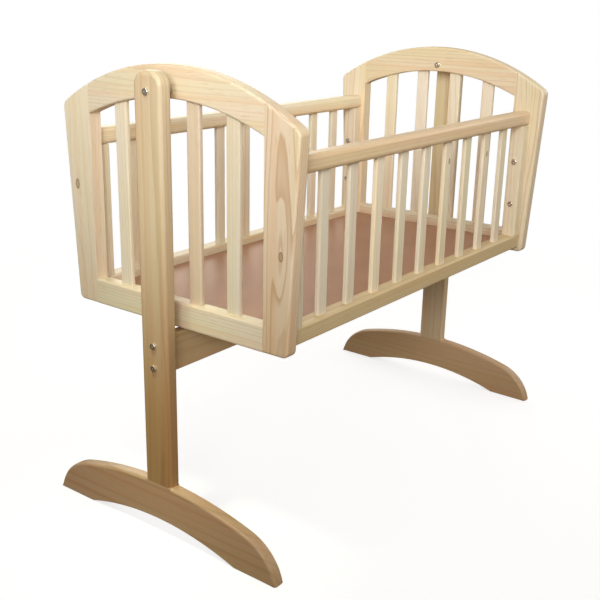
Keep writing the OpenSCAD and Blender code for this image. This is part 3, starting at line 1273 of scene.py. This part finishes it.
@dataclass
class EndPanels:
    """The arched, slatted ends of the crib, each of two posts, two rails and four slats.

    Attributes:
        workshop: dresses the boards.
        slats: how many slats an end has.
        post_foot_w: a post's width at its foot.
        post_top_w: its width where its leaning edge meets the arch.
        arch_r: radius of the arch's upper edge.
        arch_under_r: radius of the arch rail's lower edge.
        top_corner_r: radius of a post's top corner.
        foot_corner_r: radius of a post's foot corner.
        outer_arris: rounding of the end's outline.
        rail_arris: rounding of the rails' other long edges.
        slat_arris: rounding of a slat's long edges.
        sharp_arris: rounding of a post's straight inner side.
    """

    workshop: Workshop
    slats: int = 4
    post_foot_w: float = 0.053
    post_top_w: float = 0.073
    arch_r: float = 0.505
    arch_under_r: float = 0.525
    top_corner_r: float = 0.016
    foot_corner_r: float = 0.012
    outer_arris: Arris = Arris(0.005, 4)
    rail_arris: Arris = Arris(0.004, 4)
    slat_arris: Arris = Arris(0.0028, 3)
    sharp_arris: Arris = Arris(0.0006, 2)

    def _arch_mid_z(self) -> float:
        """Height of the centre of the arch's upper edge."""
        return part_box("left_end_arch_rail")[1].z - self.arch_r

    def _top_corner_mid(self, lean_y: float, slope: float) -> Vector:
        """Finds the middle of a post's top corner, which touches its leaning edge and the arch.

        Args:
            lean_y: Y, at height 0, of the line one corner radius inside the leaning edge.
            slope: how far that line moves along Y per metre of height.

        Returns:
            The middle, as Y and Z.
        """
        arch_z = self._arch_mid_z()
        a = 1 + slope**2
        b = 2 * (slope * lean_y - arch_z)
        c = lean_y**2 + arch_z**2 - (self.arch_r - self.top_corner_r) ** 2
        height = (-b + math.sqrt(b**2 - 4 * a * c)) / (2 * a)
        return Vector((lean_y + slope * height, height))

    def _post(self) -> Object:
        """Makes the back post: straight inside, leaning outside, its top on the arch.

        Returns:
            The post, with its joints still to cut.
        """
        low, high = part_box("left_end_back_post")
        arch_z = self._arch_mid_z()
        inner, foot = low.y, low.z
        shoulder = arch_z + math.sqrt(self.arch_r**2 - (inner + self.post_top_w) ** 2)
        slope = (self.post_top_w - self.post_foot_w) / (shoulder - foot)
        lean = math.atan(slope)
        out = Vector((math.cos(lean), -math.sin(lean)))

        def edge_y(z: float) -> float:
            """Y of the leaning edge at a height."""
            return inner + self.post_foot_w + (z - foot) * slope

        # The foot corner touches the sole and the leaning edge
        foot_z = foot + self.foot_corner_r
        foot_mid = Vector((edge_y(foot_z) - self.foot_corner_r / math.cos(lean), foot_z))
        # The top corner touches the leaning edge and, from inside, the arch
        lean_y = edge_y(0.0) - self.top_corner_r / math.cos(lean)
        top_mid = self._top_corner_mid(lean_y, slope)
        arch_mid = Vector((0.0, arch_z))
        top_touch = top_mid + (top_mid - arch_mid).normalized() * self.top_corner_r
        arch_end = Vector((inner, arch_z + math.sqrt(self.arch_r**2 - inner**2)))
        pen = Pen("left_end_back_post_pine", low.x, (inner, foot))
        pen.line((foot_mid.x, foot))
        pen.arc(tuple(foot_mid), tuple(foot_mid + out * self.foot_corner_r))
        pen.line(tuple(top_mid + out * self.top_corner_r))
        pen.arc(tuple(top_mid), tuple(top_touch))
        pen.arc(tuple(arch_mid), tuple(arch_end))
        pen.line((inner, foot))
        post = pen.board(high.x - low.x)

        def on_face(a: Vector, b: Vector) -> bool:
            """Whether an edge runs round one of the two faces."""
            return near(a.x, b.x) and (near(a.x, low.x) or near(a.x, high.x))

        def inside(a: Vector, b: Vector) -> bool:
            """Whether an edge lies on the straight inner side."""
            return near(a.y, inner) and near(b.y, inner)

        round_edges(post, self.outer_arris, lambda a, b: on_face(a, b) and not inside(a, b))
        round_edges(post, self.sharp_arris, lambda a, b: on_face(a, b) and inside(a, b))
        return post

    def _arch_rail(self) -> Object:
        """Makes the arched rail between the posts.

        Returns:
            The rail, with its joints still to cut.
        """
        low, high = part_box("left_end_arch_rail")
        arch_z = self._arch_mid_z()
        half = high.y
        top_z = arch_z + math.sqrt(self.arch_r**2 - half**2)
        under_z = low.z - math.sqrt(self.arch_under_r**2 - half**2)
        pen = Pen("left_end_arch_rail_pine", low.x, (half, low.z))
        pen.line((half, top_z))
        pen.arc((0.0, arch_z), (-half, top_z))
        pen.line((-half, low.z))
        pen.arc((0.0, under_z), (half, low.z), clockwise=True)
        rail = pen.board(high.x - low.x)

        def at_post(a: Vector, b: Vector) -> bool:
            """Whether an edge lies on a joint with a post."""
            return near(a.y, b.y) and near(abs(a.y), half)

        def long_edge(radius: float) -> EdgeTest:
            """A test for the edges along the arc of this radius.

            Args:
                radius: the arc's radius.

            Returns:
                The test.
            """
            middle = arch_z if radius == self.arch_r else under_z
            return lambda a, b: (
                near(a.x, b.x)
                and not at_post(a, b)
                and near(math.hypot(a.y, a.z - middle), radius, SAME_ARC)
                and near(math.hypot(b.y, b.z - middle), radius, SAME_ARC)
            )

        round_edges(rail, self.outer_arris, long_edge(self.arch_r))
        round_edges(rail, self.rail_arris, long_edge(self.arch_under_r))
        return rail

    def _bottom_rail(self) -> Object:
        """Makes the straight rail at the bottom.

        Returns:
            The rail, with its joints still to cut.
        """
        low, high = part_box("left_end_bottom_rail")
        rail = block("left_end_bottom_rail_pine", low, high)
        round_edges(rail, self.rail_arris, lambda a, b: near(a.x, b.x) and near(a.z, b.z))
        return rail

    def _slat(self, number: int) -> Object:
        """Makes one slat with softened long edges.

        Args:
            number: which slat, from 1.

        Returns:
            The slat.
        """
        low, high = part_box(f"left_end_slat_{number}")
        slat = block(f"left_end_slat_{number}_pine", low, high)
        round_edges(slat, self.slat_arris, lambda a, b: near(a.x, b.x) and near(a.y, b.y))
        return slat

    def _boards(self) -> dict[str, Object]:
        """Makes the left panel's boards and cuts their joints.

        Returns:
            The boards, by the node that each stands for.
        """
        nodes = self.workshop.nodes
        back = self._post()
        front = mirrored(back, "left_end_front_post_pine", Vector((1, -1, 1)))
        slats = [self._slat(number) for number in range(1, self.slats + 1)]
        arch, bottom = self._arch_rail(), self._bottom_rail()
        for rail in (arch, bottom):
            carve(rail, [*slats, nodes["panel_dowels"]])
        # One at a time, because each nut's barrel lies inside its bush
        for fitting in ("pivot_bushes", "pivot_sleeve_nuts"):
            carve(arch, [nodes[fitting]])
        for post in (front, back):
            carve(post, [nodes["panel_dowels"], nodes["side_inserts"]])
        return {piece.name.removesuffix("_pine"): piece for piece in (front, back, arch, bottom, *slats)}

    def build(self) -> None:
        """Makes both ends and hands them over."""
        boards = self._boards()
        boards |= opposite(boards, "left", "right", Vector((-1, 1, 1)))
        for node, piece in boards.items():
            lay = Lay.CROSSWISE_FACING_END if node.endswith("rail") else Lay.STANDING_FACING_END
            finish = SLAT_PINE if "slat" in node else CRIB_PINE
            self.workshop.timber(piece, node, "crib", "crib_pine", finish, lay)


@dataclass
class SidePanels:
    """The long sides of the crib, each of two rails, two stiles, nine slats and a ledger.

    Attributes:
        workshop: dresses the boards.
        slats: how many slats a side has.
        top_rail_arris: rounding of the top rail's long edges, as for a hand.
        rail_arris: rounding of the bottom rail's long edges.
        stile_arris: rounding of a stile's long edges.
        slat_arris: rounding of a slat's long edges.
        ledger_arris: rounding of a ledger's long edges.
    """

    workshop: Workshop
    slats: int = 9
    top_rail_arris: Arris = Arris(0.009, 6)
    rail_arris: Arris = Arris(0.004, 4)
    stile_arris: Arris = Arris(0.003, 3)
    slat_arris: Arris = Arris(0.0028, 3)
    ledger_arris: Arris = Arris(0.0015, 2)

    def _bar(self, node: str, arris: Arris) -> Object:
        """Makes a straight bar along X with its long edges rounded.

        Args:
            node: the node it stands for.
            arris: how round its edges are.

        Returns:
            The bar.
        """
        low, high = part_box(node)
        bar = block(f"{node}_pine", low, high)
        round_edges(bar, arris, lambda a, b: near(a.y, b.y) and near(a.z, b.z))
        return bar

    def _standing(self, node: str, arris: Arris) -> Object:
        """Makes an upright bar with its long edges rounded.

        Args:
            node: the node it stands for.
            arris: how round its edges are.

        Returns:
            The bar.
        """
        low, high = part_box(node)
        bar = block(f"{node}_pine", low, high)
        round_edges(bar, arris, lambda a, b: near(a.x, b.x) and near(a.y, b.y))
        return bar

    def _slats(self) -> list[Object]:
        """Makes the first slat and copies it to the places of the others.

        Returns:
            The slats, in the order of their numbers.
        """
        first = self._standing("front_side_slat_1", self.slat_arris)
        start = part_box("front_side_slat_1")[0]
        row = [first]
        for number in range(2, self.slats + 1):
            node = f"front_side_slat_{number}"
            row.append(duplicate(first, f"{node}_pine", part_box(node)[0] - start))
        return row

    def _boards(self) -> dict[str, Object]:
        """Makes the front side's boards and cuts their joints.

        Returns:
            The boards, by the node that each stands for.
        """
        nodes = self.workshop.nodes
        slats = self._slats()
        top = self._bar("front_side_top_rail", self.top_rail_arris)
        bottom = self._bar("front_side_bottom_rail", self.rail_arris)
        for rail in (top, bottom):
            carve(rail, [*slats, nodes["panel_dowels"]])
        stiles = [self._standing(f"front_side_{end}_stile", self.stile_arris) for end in ("left", "right")]
        for stile in stiles:
            for fitting in ("panel_dowels", "side_bolts"):
                carve(stile, [nodes[fitting]])
        ledger = self._bar("front_ledger", self.ledger_arris)
        return {piece.name.removesuffix("_pine"): piece for piece in (top, bottom, ledger, *stiles, *slats)}

    def build(self) -> None:
        """Makes both sides and hands them over."""
        boards = self._boards()
        boards |= opposite(boards, "front", "back", Vector((1, -1, 1)))
        for node, piece in boards.items():
            lay = Lay.LENGTHWISE_FACING_UP if node.endswith(("rail", "ledger")) else Lay.STANDING_FACING_SIDE
            finish = SLAT_PINE if "slat" in node else RAW_PINE if node.endswith("ledger") else CRIB_PINE
            slot = "raw_pine" if finish is RAW_PINE else "crib_pine"
            self.workshop.timber(piece, node, "crib", slot, finish, lay)


@dataclass
class Base:
    """The reddish-brown board that the mattress lies on."""

    workshop: Workshop
    arris: Arris = Arris(0.001, 2)

    def build(self) -> None:
        """Makes the board and hands it over."""
        low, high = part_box("base_board")
        board = block("base_board_panel", low, high)
        round_edges(board, self.arris, lambda a, b: True)
        material = BASE_PANEL.material("base_panel_face")
        self.workshop.deliver(board, "base_board", "crib", "base_panel", material)


@dataclass
class Stand:
    """Two uprights on curved feet, with one stretcher between them.

    Attributes:
        workshop: dresses the boards.
        top_corner: rounding of an upright's top, seen from the end.
        outer_arris: rounding of an upright's outer face.
        arris: rounding of its inner face, and of the stretcher's long edges.
        foot_arris: rounding of a foot's faces over its top.
        sole_arris: rounding of its faces along the pads and the hollow.
        crown_r: radius of a foot's long upper curve.
        tip_r: radius of its tips.
        pad: length of each of its flat pads.
        hollow_rise: height of the hollow between them.
        bolt_r: radius of the stretcher's bores for its bolts.
    """

    workshop: Workshop
    top_corner: Arris = Arris(0.025, 12)
    outer_arris: Arris = Arris(0.009, 6)
    arris: Arris = Arris(0.003, 3)
    foot_arris: Arris = Arris(0.0055, 4)
    sole_arris: Arris = Arris(0.002, 2)
    crown_r: float = 0.800
    tip_r: float = 0.104
    pad: float = 0.098
    hollow_rise: float = 0.030
    bolt_r: float = SHANK_R

    def _upright(self) -> Object:
        """Makes the left upright, with a rounded top and a well rounded outer face.

        Returns:
            The upright, bored for its dowels and bolts.
        """
        low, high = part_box("left_upright")
        post = block("left_upright_pine", low, high)
        round_edges(post, self.top_corner, lambda a, b: near(min(a.z, b.z), high.z) and near(a.y, b.y))

        def round_face(x: float) -> EdgeTest:
            """A test for the edges round the face at x, but not along the foot."""
            return lambda a, b: near(a.x, x) and near(b.x, x) and a.z + b.z > 2 * low.z + SLACK

        round_edges(post, self.outer_arris, round_face(low.x))
        round_edges(post, self.arris, round_face(high.x))
        for fitting in ("foot_dowels", "stretcher_bolts", "pivot_bolts"):
            carve(post, [self.workshop.nodes[fitting]])
        return post

    def _foot_blank(self) -> Object:
        """Makes the left foot's shape: a long crown curve, round tips, two pads, a hollow and a seat.

        Returns:
            The shape, with square edges.
        """
        low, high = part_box("left_foot")
        seat_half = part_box("left_upright")[1].y
        seat_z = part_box("left_upright")[0].z
        half = high.y
        crown_z = seat_z - math.sqrt(self.crown_r**2 - seat_half**2)
        # The tip's arc starts on the floor and touches the crown's from inside
        reach = math.hypot(half, crown_z)
        inner_r = self.crown_r - self.tip_r
        swing = math.acos((reach**2 + inner_r**2 - self.tip_r**2) / (2 * reach * inner_r))
        turn = math.atan2(half, -crown_z) - swing
        way = Vector((math.sin(turn), math.cos(turn)))
        crown_mid = Vector((0.0, crown_z))
        tip_mid = crown_mid + way * inner_r
        turn_at = crown_mid + way * self.crown_r
        hollow_half = half - self.pad
        hollow_r = (hollow_half**2 + self.hollow_rise**2) / (2 * self.hollow_rise)
        flip = Vector((-1, 1))
        pen = Pen("left_foot_pine", low.x, (half, low.z))
        pen.arc(tuple(tip_mid), tuple(turn_at))
        pen.arc(tuple(crown_mid), (seat_half, seat_z))
        pen.line((-seat_half, seat_z))
        pen.arc(tuple(crown_mid), tuple(turn_at * flip))
        pen.arc(tuple(tip_mid * flip), (-half, low.z))
        pen.line((-hollow_half, low.z))
        pen.arc((0.0, self.hollow_rise - hollow_r), (hollow_half, low.z), clockwise=True)
        pen.line((half, low.z))
        return pen.board(high.x - low.x)

    def _foot(self) -> Object:
        """Makes the left foot, rounded but for its seat, where the upright stands.

        Returns:
            The foot, bored for its dowels.
        """
        low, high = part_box("left_foot")
        seat_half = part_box("left_upright")[1].y
        seat_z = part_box("left_upright")[0].z
        hollow_half = high.y - self.pad
        foot = self._foot_blank()

        def sole(a: Vector, b: Vector) -> bool:
            """Whether an edge runs along a pad or the hollow."""
            flat = near(a.z, b.z) or max(abs(a.y), abs(b.y)) < hollow_half + SLACK
            return near(a.x, b.x) and flat and max(a.z, b.z) < self.hollow_rise + SLACK

        def above(a: Vector, b: Vector) -> bool:
            """Whether an edge runs round a face, over the crown, the seat or a tip."""
            return near(a.x, b.x) and not sole(a, b)

        def on_face(a: Vector) -> bool:
            """Whether a point lies on one of the two faces."""
            return near(a.x, low.x) or near(a.x, high.x)

        round_edges(foot, self.foot_arris, above)
        round_edges(foot, self.sole_arris, lambda a, b: on_face(a) and sole(a, b))
        # The seat's edges have been rounded as well, so they are squared up again
        heel_low = Vector((low.x, -seat_half, seat_z - 2 * self.foot_arris.radius))
        heel = block("heel", heel_low, Vector((high.x, seat_half, seat_z)))
        carve(foot, [heel], "UNION")
        bpy.data.objects.remove(heel)
        carve(foot, [self.workshop.nodes["foot_dowels"]])
        return foot

    def _stretcher(self) -> Object:
        """Makes the board between the uprights, bored for its bolts and for the barrel nuts across them.

        Returns:
            The stretcher.
        """
        low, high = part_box("stretcher")
        board = block("stretcher_pine", low, high)
        round_edges(board, self.arris, lambda a, b: near(a.y, b.y) and near(a.z, b.z))
        nuts = solids(self.workshop.nodes["stretcher_barrel_nuts"])
        past = Vector((0.0, self.arris.radius, 0.0))
        mids = [(first + last) / 2 for first, last in nuts]
        across = [
            (Vector((mid.x, first.y, mid.z)), Vector((mid.x, last.y, mid.z)) + past)
            for mid, (first, last) in zip(mids, nuts)
        ]
        drill(board, (nuts[0][1].x - nuts[0][0].x) / 2, across)
        ends = [Vector((math.copysign(high.x + self.arris.radius, mid.x), 0.0, mid.z)) for mid in mids]
        drill(board, self.bolt_r, [(Vector((mid.x, 0.0, mid.z)), end) for mid, end in zip(mids, ends)])
        return board

    def build(self) -> None:
        """Makes the stand's boards and hands them over."""
        boards = {"left_upright": self._upright(), "left_foot": self._foot()}
        boards |= opposite(boards, "left", "right", Vector((-1, 1, 1)))
        boards["stretcher"] = self._stretcher()
        lays = {"upright": Lay.STANDING_FACING_END, "foot": Lay.CROSSWISE_FACING_END}
        for node, piece in boards.items():
            lay = lays.get(node.split("_")[-1], Lay.LENGTHWISE_FACING_SIDE)
            self.workshop.timber(piece, node, "stand", "stand_pine", STAND_PINE, lay)


@dataclass
class Fittings:
    """The bolts, nuts, bushes and spacers, and the dowels inside the joints.

    Attributes:
        workshop: dresses the fittings.
        shank_r: radius of every bolt's shank.
        head_h: height of a bolt's head, and of a sleeve nut's flange.
        head_edge: rounding of its crown.
        tip_edge: rounding of a shank's end, and of a barrel nut's face.
        key_across: width of a hexagon socket between two flats.
        key_deep: its depth.
        spacer_edge: rounding of a spacer's ends.
        spacer_sides: how many flats go round a spacer.
        slot_w: width of a barrel nut's slot.
        slot_deep: its depth.
        sleeve_r: radius of a sleeve nut's barrel.
        sleeve_bore: depth of the bore in it.
    """

    workshop: Workshop
    shank_r: float = SHANK_R
    head_h: float = 0.004
    head_edge: Arris = Arris(0.0012, 4)
    tip_edge: Arris = Arris(0.0008, 2)
    key_across: float = 0.004
    key_deep: float = 0.0024
    spacer_edge: Arris = Arris(0.001, 3)
    spacer_sides: int = 64
    slot_w: float = 0.0014
    slot_deep: float = 0.0012
    sleeve_r: float = 0.005
    sleeve_bore: float = 0.0245

    def _bolt(self, name: str, box: tuple[Vector, Vector], outward: float, shank_r: float) -> Object:
        """Makes a bolt along X with a round head and a hexagon socket.

        Args:
            name: the bolt's name.
            box: the lowest and highest corners of the bolt.
            outward: 1 when the head points to +X, -1 when it points to -X.
            shank_r: the shank's radius.

        Returns:
            The bolt.
        """
        low, high = box
        middle = (low + high) / 2
        head_r = (high.z - low.z) / 2
        length = high.x - low.x - self.head_h
        way = Vector((outward, 0.0, 0.0))
        crown = Vector((high.x if outward > 0 else low.x, middle.y, middle.z))
        face = crown - way * self.head_h
        bolt = rod(name, head_r, face, crown)
        round_edges(bolt, self.head_edge, lambda a, b: near(a.x, crown.x) and near(b.x, crown.x))
        with shaping(bolt, "FACE"):
            select_faces(bolt, lambda centre, normal: near(centre.x, face.x))
            bpy.ops.mesh.inset(thickness=head_r - shank_r)
            bpy.ops.mesh.extrude_region_move(TRANSFORM_OT_translate={"value": -way * length})
        end = face.x - outward * length
        round_edges(bolt, self.tip_edge, lambda a, b: near(a.x, end) and near(b.x, end))
        key_r = self.key_across / math.sqrt(3)
        key = rod("key", key_r, crown - way * self.key_deep, crown + way * self.key_deep, HEXAGON)
        carve(bolt, [key])
        bpy.data.objects.remove(key)
        return bolt

    def _bolts(self, node: str, heads_inward: bool, shank_r: float) -> list[Object]:
        """Makes a node's bolts at the places of its solids.

        Args:
            node: the node that holds them.
            heads_inward: whether the heads point to the cradle's middle.
            shank_r: the shanks' radius.

        Returns:
            The bolts, from left to right.
        """
        bolts = []
        for number, box in enumerate(solids(self.workshop.nodes[node])):
            outward = math.copysign(1.0, box[0].x) * (-1.0 if heads_inward else 1.0)
            bolts.append(self._bolt(f"{node}_{number}", box, outward, shank_r))
        return bolts

    def _sleeve_nuts(self) -> list[Object]:
        """Makes the two sleeve nuts: each a flange with a hexagon socket on a bored barrel.

        Returns:
            The nuts, the left one first.
        """
        nuts = self._bolts("pivot_sleeve_nuts", True, self.sleeve_r)
        for nut, (low, high) in zip(nuts, solids(self.workshop.nodes["pivot_sleeve_nuts"])):
            middle = (low + high) / 2
            mouth = Vector((low.x if middle.x < 0 else high.x, middle.y, middle.z))
            way = Vector((math.copysign(1.0, middle.x), 0.0, 0.0))
            drill(nut, self.shank_r, [(mouth - way * self.sleeve_bore, mouth + way * self.head_h)])
        return nuts

    def _spacers(self) -> list[Object]:
        """Makes the two nylon spacers round the pivot bolts.

        Returns:
            The spacers, the left one first.
        """
        made = []
        past = Vector((self.head_h, 0.0, 0.0))
        for number, (low, high) in enumerate(solids(self.workshop.nodes["pivot_spacers"])):
            middle = (low + high) / 2
            start = Vector((low.x, middle.y, middle.z))
            end = Vector((high.x, middle.y, middle.z))
            spacer = rod(f"pivot_spacers_{number}", (high.z - low.z) / 2, start, end, self.spacer_sides)
            round_edges(spacer, self.spacer_edge, lambda a, b: near(a.x, b.x))
            drill(spacer, self.shank_r, [(start - past, end + past)])
            made.append(spacer)
        return made

    def _barrel_nuts(self) -> list[Object]:
        """Makes the four slotted barrel nuts, let into the back of the stretcher and bored for its bolts.

        Returns:
            The nuts, from left to right.
        """
        made = []
        for number, (low, high) in enumerate(solids(self.workshop.nodes["stretcher_barrel_nuts"])):
            middle = (low + high) / 2
            start = Vector((middle.x, low.y, middle.z))
            end = Vector((middle.x, high.y, middle.z))
            radius = (high.x - low.x) / 2
            nut = rod(f"stretcher_barrel_nuts_{number}", radius, start, end)
            round_edges(nut, self.tip_edge, lambda a, b: near(a.y, b.y) and near(a.y, high.y))
            past_edge = radius + self.tip_edge.radius
            half = Vector((past_edge, self.slot_deep, self.slot_w / 2))
            slot = block("slot", end - half, end + half)
            carve(nut, [slot])
            bpy.data.objects.remove(slot)
            reach = Vector((past_edge, 0.0, 0.0))
            axis = Vector((middle.x, 0.0, middle.z))
            drill(nut, self.shank_r, [(axis - reach, axis + reach)])
            made.append(nut)
        return made

    def build(self) -> None:
        """Makes the fittings that show, and dresses those that stay inside."""
        workshop = self.workshop
        zinc = ZINC.material("zinc_steel")
        sets = {
            "side_bolts": ("crib", self._bolts("side_bolts", True, self.shank_r)),
            "stretcher_bolts": ("stand", self._bolts("stretcher_bolts", False, self.shank_r)),
            "pivot_bolts": ("stand", self._bolts("pivot_bolts", False, self.shank_r)),
            "pivot_sleeve_nuts": ("stand", self._sleeve_nuts()),
            "stretcher_barrel_nuts": ("stand", self._barrel_nuts()),
        }
        for node, (body, fittings) in sets.items():
            workshop.deliver(joined(fittings, f"{node}_steel"), node, body, "zinc_steel", zinc)
        spacers = joined(self._spacers(), "pivot_spacers_nylon")
        workshop.deliver(spacers, "pivot_spacers", "stand", "nylon", NYLON.material("nylon"))
        brass = BRASS.material("brass")
        for node in ("pivot_bushes", "side_inserts"):
            workshop.keep(node, brass)
        dowels = {"panel_dowels": Lay.CROSSWISE_FACING_END, "foot_dowels": Lay.STANDING_FACING_END}
        for node, lay in dowels.items():
            grain = BEECH.material(f"{node}_grain", workshop.pine, lay, Vector(), Board.picked(node))
            workshop.keep(node, grain)


# ---- The studio ----


@dataclass(frozen=True)
class Lamp:
    """A soft box.

    Attributes:
        name: the lamp's name.
        place: where it stands.
        target: what it points at.
        size: length of its side.
        power: its power in watts.
        beam: the angle that its light is kept within, in degrees.
        colour: its colour.
    """

    name: str
    place: tuple[float, float, float]
    target: tuple[float, float, float]
    size: float
    power: float
    beam: float
    colour: Colour = (1.0, 1.0, 1.0)

    def build(self) -> None:
        """Puts the lamp up."""
        light = bpy.data.lights.new(self.name, "AREA")
        light.shape = "SQUARE"
        light.size = self.size
        light.energy = self.power
        light.spread = math.radians(self.beam)
        light.color = self.colour
        lamp = bpy.data.objects.new(self.name, light)
        bpy.context.scene.collection.objects.link(lamp)
        lamp.location = self.place
        aim = Vector(self.target) - Vector(self.place)
        lamp.rotation_euler = aim.to_track_quat("-Z", "Y").to_euler()


@dataclass
class Studio:
    """A pale floor that runs into a white room, soft lamps and the camera.

    Attributes:
        floor_r: radius of the floor.
        floor_sides: how many flats go round it.
        floor_drop: how far it lies below the feet.
        floor_rough: its roughness.
        floor_fade: distances over which it runs into the white.
        floor_near: its colour near the cradle.
        floor_bounce: its colour in the light that it throws back on the cradle.
        glow: its own brightness near the cradle.
        white: its brightness far away, and the room's.
        air: colour of the room's light on the cradle.
        camera_at: the camera's place.
        yaw: the camera's heading from X towards Y, in degrees.
        pitch: how far it looks up, in degrees.
        roll: how far it is turned about its line of sight, in degrees.
        lens: its focal length in millimetres.
        sensor_w: width of its sensor in millimetres.
        view_reach: how far the camera sees, in metres.
        shift: how far its view is moved across and up, in sensor widths.
        lamps: the lamps.
    """

    floor_r: float = 14.0
    floor_sides: int = 96
    floor_drop: float = 0.0003
    floor_rough: float = 0.9
    floor_fade: Step = Step(0.7, 2.4)
    floor_near: Colour = (0.5, 0.5, 0.5)
    floor_bounce: Colour = (0.22, 0.165, 0.11)
    glow: float = 0.72
    white: float = 1.0
    air: Colour = (0.455, 0.45, 0.425)
    camera_at: tuple[float, float, float] = (-1.6462, -1.1644, 1.0011)
    yaw: float = 36.808
    pitch: float = -18.254
    roll: float = 1.255
    lens: float = 56.279
    sensor_w: float = 36.0
    view_reach: float = 100.0
    shift: tuple[float, float] = (-0.00125, 0.00367)
    lamps: tuple[Lamp, ...] = (
        Lamp(
            "key", place=(-2.3, -1.2, 1.7), target=(-0.2, 0.0, 1.25), size=1.2, power=7.5,
            beam=50.0, colour=(0.95, 1.0, 1.06),
        ),
        Lamp(
            "key_high", place=(-2.1, -1.5, 2.1), target=(0.0, 0.0, 1.25), size=1.2, power=1.8,
            beam=60.0,
        ),
        Lamp(
            "front_fill", place=(0.4, -2.6, 1.9), target=(0.2, 0.0, 1.15), size=1.6, power=2.4,
            beam=60.0,
        ),
        Lamp(
            "right_fill", place=(2.4, -0.8, 1.7), target=(0.2, 0.0, 0.95), size=1.6, power=1.2,
            beam=70.0,
        ),
        Lamp(
            "back_fill", place=(1.9, 2.3, 1.8), target=(0.0, 0.0, 0.9), size=1.8, power=4.6,
            beam=80.0, colour=(1.1, 1.0, 0.85),
        ),
        Lamp(
            "foot_light", place=(-0.9, 0.0, 1.6), target=(-0.52, 0.0, 0.05), size=0.15, power=0.26,
            beam=28.0, colour=(0.85, 1.0, 0.68),
        ),
    )

    def _camera(self) -> None:
        """Sets the camera."""
        yaw, pitch, roll = (math.radians(angle) for angle in (self.yaw, self.pitch, self.roll))
        ahead = Vector((math.cos(pitch) * math.cos(yaw), math.cos(pitch) * math.sin(yaw), math.sin(pitch)))
        level = ahead.cross(Vector((0, 0, 1))).normalized()
        up = level.cross(ahead)
        across = level * math.cos(roll) + up * math.sin(roll)
        upward = up * math.cos(roll) - level * math.sin(roll)
        turn = Matrix((across, upward, -ahead)).transposed()
        camera = bpy.data.objects.new("camera", bpy.data.cameras.new("camera"))
        camera.matrix_world = Matrix.Translation(self.camera_at) @ turn.to_4x4()
        camera.data.lens = self.lens
        camera.data.sensor_width = self.sensor_w
        camera.data.shift_x, camera.data.shift_y = self.shift
        camera.data.clip_end = self.view_reach
        bpy.context.scene.collection.objects.link(camera)
        bpy.context.scene.camera = camera

    def _room(self) -> None:
        """Makes the air white to look at, and dimmer as a light."""
        world = bpy.data.worlds.new("room")
        bpy.context.scene.world = world
        world.use_nodes = True
        wires = Wiring(world.node_tree)
        seen = wires.node("ShaderNodeLightPath").outputs["Is Camera Ray"]
        background = world.node_tree.nodes["Background"]
        wires.feed(background.inputs["Color"], wires.mix(seen, self.air, (self.white,) * 3))

    def _floor(self) -> None:
        """Makes the floor: it shows soft shadows near the cradle and runs into the white of the room."""
        clear_bench()
        bpy.ops.mesh.primitive_circle_add(
            vertices=self.floor_sides,
            radius=self.floor_r,
            fill_type="NGON",
            location=(0, 0, -self.floor_drop),
        )
        floor = named(bpy.context.object, "floor")
        settle(floor)
        material, wires, shader = new_material("pale_floor")
        seen = wires.node("ShaderNodeLightPath").outputs["Is Camera Ray"]
        place = wires.node("ShaderNodeTexCoord").outputs["Object"]
        distance = wires.vector("LENGTH", place).outputs["Value"]
        far = wires.ease(distance, self.floor_fade)
        pale = wires.mix(far, self.floor_near, (0.0, 0.0, 0.0))
        wires.feed(shader.inputs["Base Color"], wires.mix(seen, self.floor_bounce, pale))
        brightness = wires.math("MULTIPLY_ADD", far, self.white - self.glow, self.glow)
        shader.inputs["Emission Color"].default_value = (1.0, 1.0, 1.0, 1.0)
        wires.feed(shader.inputs["Emission Strength"], wires.math("MULTIPLY", seen, brightness))
        shader.inputs["Roughness"].default_value = self.floor_rough
        shader.inputs["Specular IOR Level"].default_value = 0.0
        floor.data.materials.append(material)

    def build(self) -> None:
        """Sets up the camera, the room, the floor and the lamps."""
        self._camera()
        self._room()
        self._floor()
        for lamp in self.lamps:
            lamp.build()
        view = bpy.context.scene.view_settings
        view.view_transform = "Standard"
        view.look = "None"


def main() -> None:
    """Loads the frame and builds the cradle around it."""
    logging.basicConfig(level=logging.INFO, format="%(name)s: %(message)s")
    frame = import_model()
    Studio().build()
    workshop = Workshop(frame["nodes"])
    for assembly in (EndPanels, SidePanels, Base, Stand, Fittings):
        assembly(workshop).build()
    LOG.info("%d pieces stand for their nodes", workshop.count)


if __name__ == "__main__":
    main()
